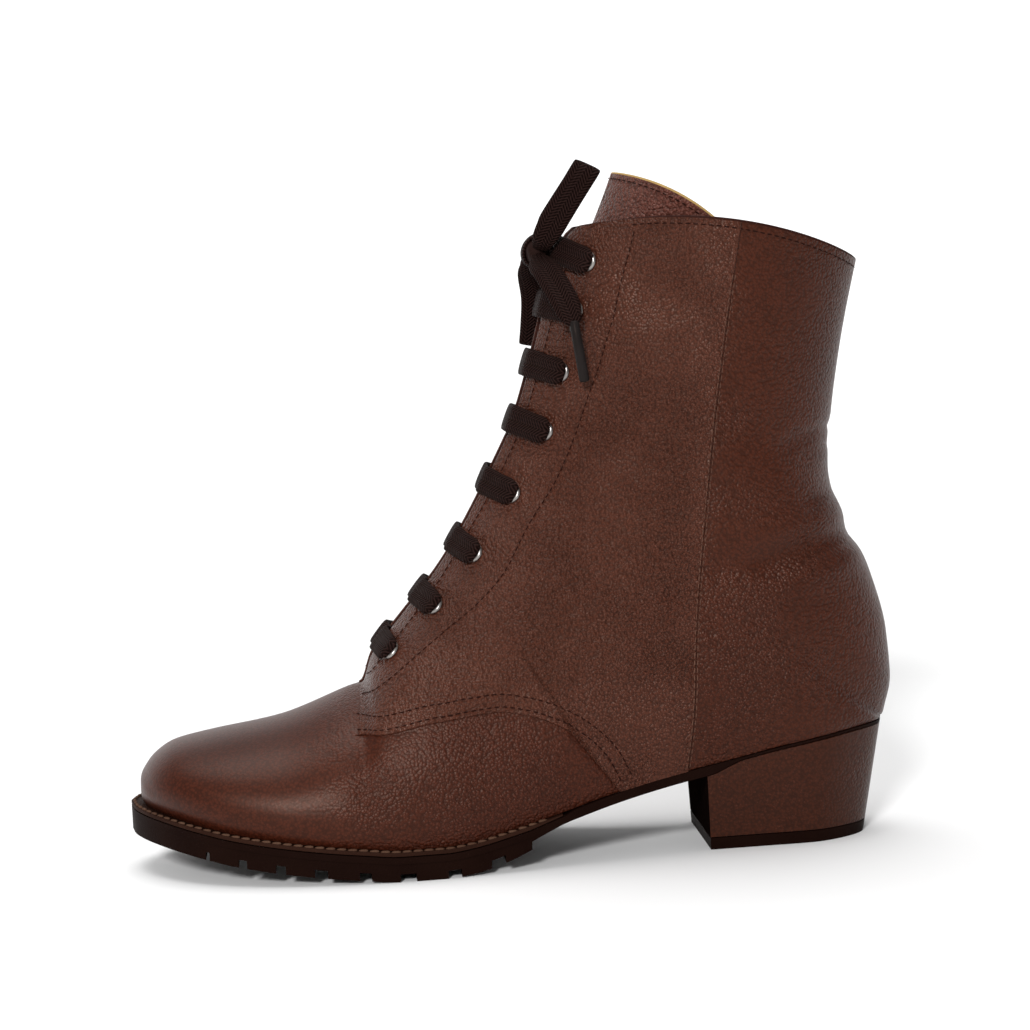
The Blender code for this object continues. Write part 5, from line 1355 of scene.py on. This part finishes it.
def vamp_line():
    """The quarter's lower edge seen from the side, from the facing backwards."""
    x = np.linspace(VAMP_ROW_START, VAMP_SEAM_END, VAMP_ROW_POINTS) * BOOT_LENGTH
    return np.stack([x, sole_line(x) + vamp_height(x)], axis=1)


def rear_line():
    """The rear panel's seam seen from the side, from the sole upwards."""
    height = np.linspace(REAR_ROW_START, REAR_ROW_END, REAR_ROW_POINTS) * SHAFT_HEIGHT
    x = rear_place(height)
    return np.stack([x, sole_line(x) + height], axis=1)


def collar_line(side):
    """Points a little below the collar's edge, seen from the side."""
    points, _ = section_line(COLLAR - COLLAR_ROW_DROP, side)
    return points[points[:, 0] < COLLAR_ROW_FRONT][:, [0, 2]]


def make_stitches(upper, dark, cream):
    """The rows of thread on vamp, facing, collar and rear seam, laid on the upper."""
    tree = BVHTree.FromObject(upper, bpy.context.evaluated_depsgraph_get())
    dark_rows = []
    cream_rows = []
    for side in (1, -1):
        for offset in VAMP_ROW_OFFSETS:
            line = beside(vamp_line(), -offset)
            line = line[line[:, 1] > sole_line(line[:, 0]) + VAMP_ROW_CLEAR]
            dark_rows.append(on_side(tree, dense(line), side))
        for offset in REAR_ROW_OFFSETS:
            cream_rows.append(on_side(tree, dense(beside(rear_line(), offset)), side))
        for line in (FACING_ROW, THROAT_ROW, collar_line(side)):
            dark_rows.append(on_side(tree, dense(line), side))
    show(stitches("dark_stitches", dark_rows, dark), "brown_leather")
    show(stitches("rear_stitches", cream_rows, cream), "brown_leather")


def add_bevel(obj, width, degrees=32):
    """Rounds the edges that turn by more than these degrees."""
    bevel = obj.modifiers.new("edges", "BEVEL")
    bevel.width = width
    bevel.segments = 3
    bevel.limit_method = "ANGLE"
    bevel.angle_limit = math.radians(degrees)
    bevel.harden_normals = False
    return obj


def make_sole(rubber, welt, rib):
    """Outsole, welted midsole and the stitches that lie on its edge."""
    outsole = add_bevel(from_rings("sole_outsole", outsole_rings(), [rubber]), SOLE_EDGE)
    show(outsole, "sole_rubber", "outsole")
    outline = sole_outline()
    end = MIDSOLE_END * BOOT_LENGTH
    rings = []
    for x in outline.stations(end, outline.front, SOLE_STATION, [end + SKIVE_LENGTH]):
        line = float(sole_line(x))
        rings.append(plate_ring(outline, x, [(0.0, line - FIT_GAP), (0.0, line - midsole_depth(x))]))
    midsole = add_bevel(from_rings("sole_midsole", rings, [welt], True), MIDSOLE_EDGE)
    show(midsole, "midsole_brown", "midsole")
    loop = np.concatenate([outline.outer, outline.inner[::-1]])
    loop = beside(loop[loop[:, 0] > end + WELT_START], -WELT_INSET)
    line = np.concatenate([loop, sole_line(loop[:, 0])[:, None] - FIT_GAP], axis=1)
    ups = np.tile([0.0, 0.0, 1.0], (len(line), 1))
    seam = stitches("welt_stitches", [(line, ups)], rib, WELT_STITCH, WELT_GAP, WELT_WIDTH, 0.05)
    show(seam, "midsole_brown")


def make_heel(cover, rubber, breast):
    """The leather block with its bare breast, and the lift under it."""
    foot = TOP_PIECE_THICKNESS + FIT_GAP
    rings = heel_rings(lambda seat_z: list(np.linspace(seat_z, foot, HEEL_LEVELS)))
    block = from_rings("heel_cover", rings, [cover, breast], end_cap=True, sharp_degrees=SHARP)
    for face in block.data.polygons:
        face.material_index = int(face.normal.x > BREAST_FACING)
    show(add_bevel(block, HEEL_EDGE, SHARP), "heel_leather", "heel_block")
    rings = heel_rings(lambda seat_z: [TOP_PIECE_THICKNESS, 0.0])
    lift = from_rings("heel_lift", rings, [rubber], end_cap=True, sharp_degrees=SHARP)
    show(add_bevel(lift, LIFT_EDGE, SHARP), "top_piece_rubber", "top_piece")


def make_sock(finish):
    outline = insole_outline()
    rings = []
    for x in outline.stations(outline.back, outline.front, SOLE_STATION):
        line = float(sole_line(x)) + FIT_GAP
        rings.append(plate_ring(outline, x, [(0.0, line + INSOLE_THICKNESS), (0.0, line)]))
    show(add_bevel(from_rings("sock", rings, [finish]), SOCK_EDGE), "insole_tan", "insole")


def make_tongue(finish, inside, edge, thread):
    """The tongue, its lining and the row of stitches along its top edge."""
    shares = np.linspace(0, 1, TONGUE_ROW_COUNT) ** TONGUE_SPREAD
    places = [(TONGUE_START + (COLLAR - TONGUE_START) * float(share), 0.0) for share in shares]
    rises = np.linspace(TONGUE_FIRST_RISE, 1.0, TONGUE_TOP_ROWS)
    places += [(float(COLLAR), float(rise)) for rise in rises]
    rows = [tongue_row(section, rise) for section, rise in places]
    front = np.array([points for points, _ in rows])
    normal = np.array([normals for _, normals in rows])
    back = front - normal * TONGUE_THICKNESS
    up = throat_direction(float(COLLAR))
    grids = Grids()
    grids.add(front, 0)
    grids.add(back, 1, True)
    grids.add(rim(front[-1], back[-1], unit(up), TONGUE_EDGE), 2)
    for place, flip in ((0, True), (-1, False)):
        grids.add(np.stack([front[:, place], back[:, place]], axis=1), 2, flip)
    grids.add(np.stack([front[0], back[0]], axis=0), 2, True)
    show(grids.mesh("boot_tongue", [finish, inside, edge], SHARP), "tongue_leather", "tongue")
    row = (front[-1][2:-2] - up * TONGUE_ROW_DROP, normal[-1][2:-2])
    show(stitches("tongue_stitches", [row], thread, sink=0.3), "tongue_leather")


def make_eyelets(finish):
    """All sixteen rings, each with a rounded flange and a barrel, as one mesh."""
    middle = (EYELET_RADIUS + EYELET_BORE) / 2
    half = (EYELET_RADIUS - EYELET_BORE) / 2
    low = PANEL_STEP + FIT_GAP
    barrel = EYELET_BORE + EYELET_BARREL_WALL
    turn = np.linspace(0, math.pi, EYELET_PROFILE_STEPS + 1)
    profile = [(middle + half * math.cos(a), low + EYELET_DOME * math.sin(a)) for a in turn]
    profile += [(EYELET_BORE, FIT_GAP - UPPER_WALL), (barrel, FIT_GAP - UPPER_WALL), (barrel, low)]
    grids = Grids()
    for section in eyelet_sections():
        for side in (1, -1):
            rings = turned(section, side, profile + profile[:1])
            grids.add(np.array(rings + rings[:1]), 0)
    names = [f"eyelet_{hand}_{i + 1}" for hand in ("out", "in") for i in range(len(EYELET_PLACES))]
    show(grids.mesh("eyelets", [finish], SHARP), "eyelet_metal", *names)


def lace_mesh(name, points, widths, thicknesses, way, finish):
    """A flat lace with rounded edges along a path, its UV in metres along and across. Its width points
    along way, square to the path."""
    tangents = units(np.gradient(points, axis=0))
    wide = units(way - tangents * (tangents @ way)[:, None])
    thick = np.cross(tangents, wide)
    angles = np.linspace(0, 2 * math.pi, LACE_SIDES, endpoint=False)
    across = np.sign(np.cos(angles)) * np.abs(np.cos(angles)) ** LACE_ACROSS * widths[:, None] / 2
    deep = np.sign(np.sin(angles)) * np.abs(np.sin(angles)) ** LACE_THROUGH * thicknesses[:, None] / 2
    rings = points[:, None] + wide[:, None] * across[..., None] + thick[:, None] * deep[..., None]
    made = from_rings(name, rings, [finish], True, True, NO_SHARP)
    layer = made.data.uv_layers.new(name="UVMap")
    along = np.repeat(lengths_along(points), LACE_SIDES)
    across = across.reshape(-1)
    for loop in made.data.loops:
        layer.data[loop.index].uv = (along[loop.vertex_index], across[loop.vertex_index])
    return made


def resampled(rows, count):
    """Rows of values at even steps of length along their first three columns, bends rounded."""
    rows = np.array(rows, dtype=float)
    lengths = lengths_along(rows[:, :3])
    wanted = np.linspace(0, lengths[-1], count)
    values = np.stack([smooth(lengths, rows[:, i], wanted) for i in range(rows.shape[1])], axis=1)
    padded = np.concatenate([values[:1]] * 2 + [values] + [values[-1:]] * 2)
    eased = (padded[:-4] + 2 * padded[1:-3] + 3 * padded[2:-2] + 2 * padded[3:-1] + padded[4:]) / 9
    eased[0], eased[-1] = values[0], values[-1]
    return eased


def make_bars(finish):
    """The lace across the throat, from one eyelet's hole to the other's, for each pair."""
    for number, section in enumerate(eyelet_sections(), 1):
        reach = eyelet_reach(section)
        gap = half_gap(section)
        edge = reach - EYELET_RADIUS
        low = PANEL_STEP + 2 * FIT_GAP + LACE_THICKNESS / 2
        high = PANEL_STEP + BAR_RISE + LACE_THICKNESS / 2
        across = {"ridge": 0.0, "gap's half": gap * 0.5, "gap": gap, "facing": (gap + edge) / 2,
                  "eyelet's edge": edge, "eyelet": reach}
        above = {"sagging": low - BAR_SAG, "rising": low - BAR_SAG * BAR_SAG_SIDE, "low": low, "high": high,
                 "last": 0.0}
        half = [
            (across[place] + beyond, above[level] + lift, width * LACE_WIDTH, thickness * LACE_THICKNESS)
            for place, beyond, level, lift, width, thickness in BAR_STATIONS
        ]
        path = [(-place, *others) for place, *others in half[:0:-1]] + half
        rows = [[*straight_across(section, place, height)[0], *sizes] for place, height, *sizes in path]
        rows = resampled(rows, BAR_POINTS)
        way = throat_direction(section)
        made = lace_mesh(f"lace_row_{number}", rows[:, :3], rows[:, 3], rows[:, 4], way, finish)
        show(made, "lace_cord", f"lace_bar_{number}")


def bow_piece(bow, name, table, way, finish):
    """A loop or an end of the bow, and its path."""
    rows = np.array(table) * LACE_WIDTH
    points = np.array([bow.place(f, o, u) for f, o, u, _ in rows])
    rows = resampled(np.concatenate([points, rows[:, 3:]], axis=1), BOW_POINTS)
    share = np.clip(rows[:, 3] / LACE_WIDTH, 0, 1)
    thicknesses = LACE_THICKNESS * (1.0 + BOW_FOLD * (1 - share))
    direction = bow.forward * way[0] + bow.up * way[1]
    return lace_mesh(name, rows[:, :3], rows[:, 3], thicknesses, direction, finish), rows[:, :3]


def make_knot(bow, finish):
    """The knot: a full core with one turn of the lace drawn over it."""
    angles = np.linspace(0, 2 * math.pi, KNOT_POINTS, endpoint=False)
    rings = []
    for share in np.linspace(-1, 1, KNOT_STATIONS):
        size = KNOT_SHARE * (1 - (KNOT_FULLNESS * abs(share)) ** 3) ** KNOT_ROUND
        radii = size / 2 * (1 + KNOT_WAVE * np.sin(3 * angles + KNOT_TWIST * share))
        rings.append([
            bow.place(KNOT_DEPTH * r * math.cos(a), KNOT_WIDTH / 2 * share, KNOT_HEIGHT * r * math.sin(a))
            for a, r in zip(angles, radii)
        ])
    core = from_rings("knot_core", rings, [finish], True, True, NO_SHARP)
    show(core, "lace_cord", "lace_knot")
    points = np.array([
        bow.place(
            KNOT_DEPTH * BAND_DEPTH * math.cos(a),
            KNOT_WIDTH * BAND_SWING * math.sin(a) - BAND_SHIFT,
            KNOT_HEIGHT * BAND_HEIGHT * math.sin(a),
        )
        for a in np.linspace(-BAND_TURN, BAND_TURN, BAND_POINTS)
    ])
    band = lace_mesh("knot_band", points, np.full(BAND_POINTS, LACE_WIDTH * BAND_WIDTH),
                     np.full(BAND_POINTS, LACE_THICKNESS), bow.out, finish)
    show(band, "lace_cord")
    return [core, band]


def make_bow(finish, tip):
    """The knot, and the loops and ends that leave it as free cords."""
    bow = BowFrame()
    knot = make_knot(bow, finish)
    exit_point = tuple(bow.middle)
    for name, table, way, others in (
        ("loop_up", LOOP_UP, LOOP_UP_WAY, knot), ("loop_down", LOOP_DOWN, LOOP_DOWN_WAY, []),
    ):
        made, path = bow_piece(bow, name, table, way, finish)
        show(made, "lace_cord", "lace_" + name)
        float(lengths_along(path)[-1])
        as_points(path)
        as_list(others)
    for hand, table, way in (("out", TAIL_OUT, TAIL_OUT_WAY), ("in", TAIL_IN, TAIL_IN_WAY)):
        name = "tail_" + hand
        made, path = bow_piece(bow, name, table, way, finish)
        show(made, "lace_cord", "lace_" + name)
        aglet = make_tip(name + "_tip", path, bow, tip)
        show(aglet, "aglet_plastic", "aglet_" + hand)
        long = float(lengths_along(path)[-1])
        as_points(path)


def make_tip(name, points, bow, finish):
    """The tip on the end of the lace, crimped flat where it holds the lace."""
    way = unit(unit(points[-1] - points[-4]) + np.array([0.0, 0.0, -AGLET_HANG]))
    first = unit(np.cross(way, bow.forward))
    second = np.cross(way, first)
    start = points[-1] - way * TIP_OVERLAP
    angles = [2 * math.pi * i / TIP_SIDES for i in range(TIP_SIDES)]
    rings = []
    for along, radius, flat in TIP_PROFILE:
        middle = start + way * along * (AGLET_LENGTH + TIP_OVERLAP)
        rings.append([
            middle + (first * math.cos(a) + second * math.sin(a) * flat) * radius * AGLET_RADIUS
            for a in angles
        ])
    return from_rings(name, rings, [finish], True, True, SHARP)


def make_stage():
    """A pale floor that slopes up behind the boot, and soft lights."""
    profile = [(place, 0.0) for place in FLOOR_ROWS]
    for angle in np.linspace(0, BACKDROP_SLOPE, BACKDROP_ROWS):
        forward = -BACKDROP_START - BACKDROP_BEND * math.sin(angle)
        profile.append((forward, BACKDROP_BEND * (1 - math.cos(angle))))
    end_y, end_z = profile[-1]
    along = BACKDROP_LENGTH * math.cos(BACKDROP_SLOPE)
    profile.append((end_y - along, end_z + BACKDROP_LENGTH * math.sin(BACKDROP_SLOPE)))
    sides = (-FLOOR_HALF_WIDTH, FLOOR_HALF_WIDTH)
    grids = Grids()
    grids.add(np.array([[(x, y, z) for x in sides] for y, z in profile]), 0)
    grids.mesh("floor", [Finish("floor_pale", FLOOR_COLOUR, FLOOR_ROUGHNESS).made], SHARP)
    world = bpy.data.worlds.new("studio")
    world.use_nodes = True
    world.node_tree.nodes["Background"].inputs["Color"].default_value = (1.0, 1.0, 1.0, 1.0)
    world.node_tree.nodes["Background"].inputs["Strength"].default_value = WORLD_STRENGTH
    bpy.context.scene.world = world
    for name, place, spread, strength in LIGHTS:
        data = bpy.data.lights.new(name, "SUN")
        data.angle = math.radians(spread)
        data.energy = strength
        lamp = bpy.data.objects.new(name, data)
        bpy.context.scene.collection.objects.link(lamp)
        lamp.location = place
        lamp.rotation_euler = (-Vector(place)).to_track_quat("-Z", "Y").to_euler()


def make_camera():
    """The photo's view: the outer side, from a little above, rolled."""
    azimuth = math.radians(CAMERA_AZIMUTH)
    elevation = math.radians(CAMERA_ELEVATION)
    back = Vector((math.sin(azimuth) * math.cos(elevation), -math.cos(azimuth) * math.cos(elevation),
                   math.sin(elevation)))
    level = (-back).cross(Vector((0, 0, 1))).normalized()
    upright = level.cross(-back)
    roll = math.radians(CAMERA_ROLL)
    right = level * math.cos(roll) - upright * math.sin(roll)
    up = upright * math.cos(roll) + level * math.sin(roll)
    data = bpy.data.cameras.new("camera")
    data.lens = CAMERA_LENS
    data.sensor_width = CAMERA_SENSOR
    data.clip_end = CAMERA_REACH
    camera = bpy.data.objects.new("camera", data)
    bpy.context.scene.collection.objects.link(camera)
    turn = Matrix((right, up, back)).transposed().to_4x4()
    camera.matrix_world = Matrix.Translation(Vector(CAMERA_TARGET) + back * CAMERA_DISTANCE) @ turn
    bpy.context.scene.camera = camera


def main():
    make_camera()
    make_stage()
    looks = {name: leather(name, *values) for name, values in LEATHERS.items()}
    looks.update({name: plain_surface(name, *values) for name, values in PLAINS.items()})
    breast = looks["heel_breast"]
    breast.node_tree.nodes["Principled BSDF"].inputs["Specular IOR Level"].default_value = 0.0
    lining = looks["lining_tan"]
    dark = looks["thread_dark"]
    rubber = looks["rubber"]
    panels = [looks["leather_" + part] for part in ("vamp", "quarter", "rear", "edge")]
    upper, inside = make_upper(panels + [lining])
    show(upper, "brown_leather", "upper")
    show(inside, "insole_tan")
    make_stitches(upper, dark, looks["thread_cream"])
    make_tongue(looks["leather_tongue"], lining, looks["edge_tan"], dark)
    make_sole(rubber, looks["welt"], looks["welt_thread"])
    make_heel(looks["leather_heel"], rubber, breast)
    make_sock(lining)
    make_eyelets(looks["eyelet_metal"])
    lace = woven("lace_woven", *LACE_COLOURS)
    make_bars(lace)
    make_bow(lace, looks["tip_dark"])
    bpy.context.scene.view_settings.view_transform = "Standard"


main()
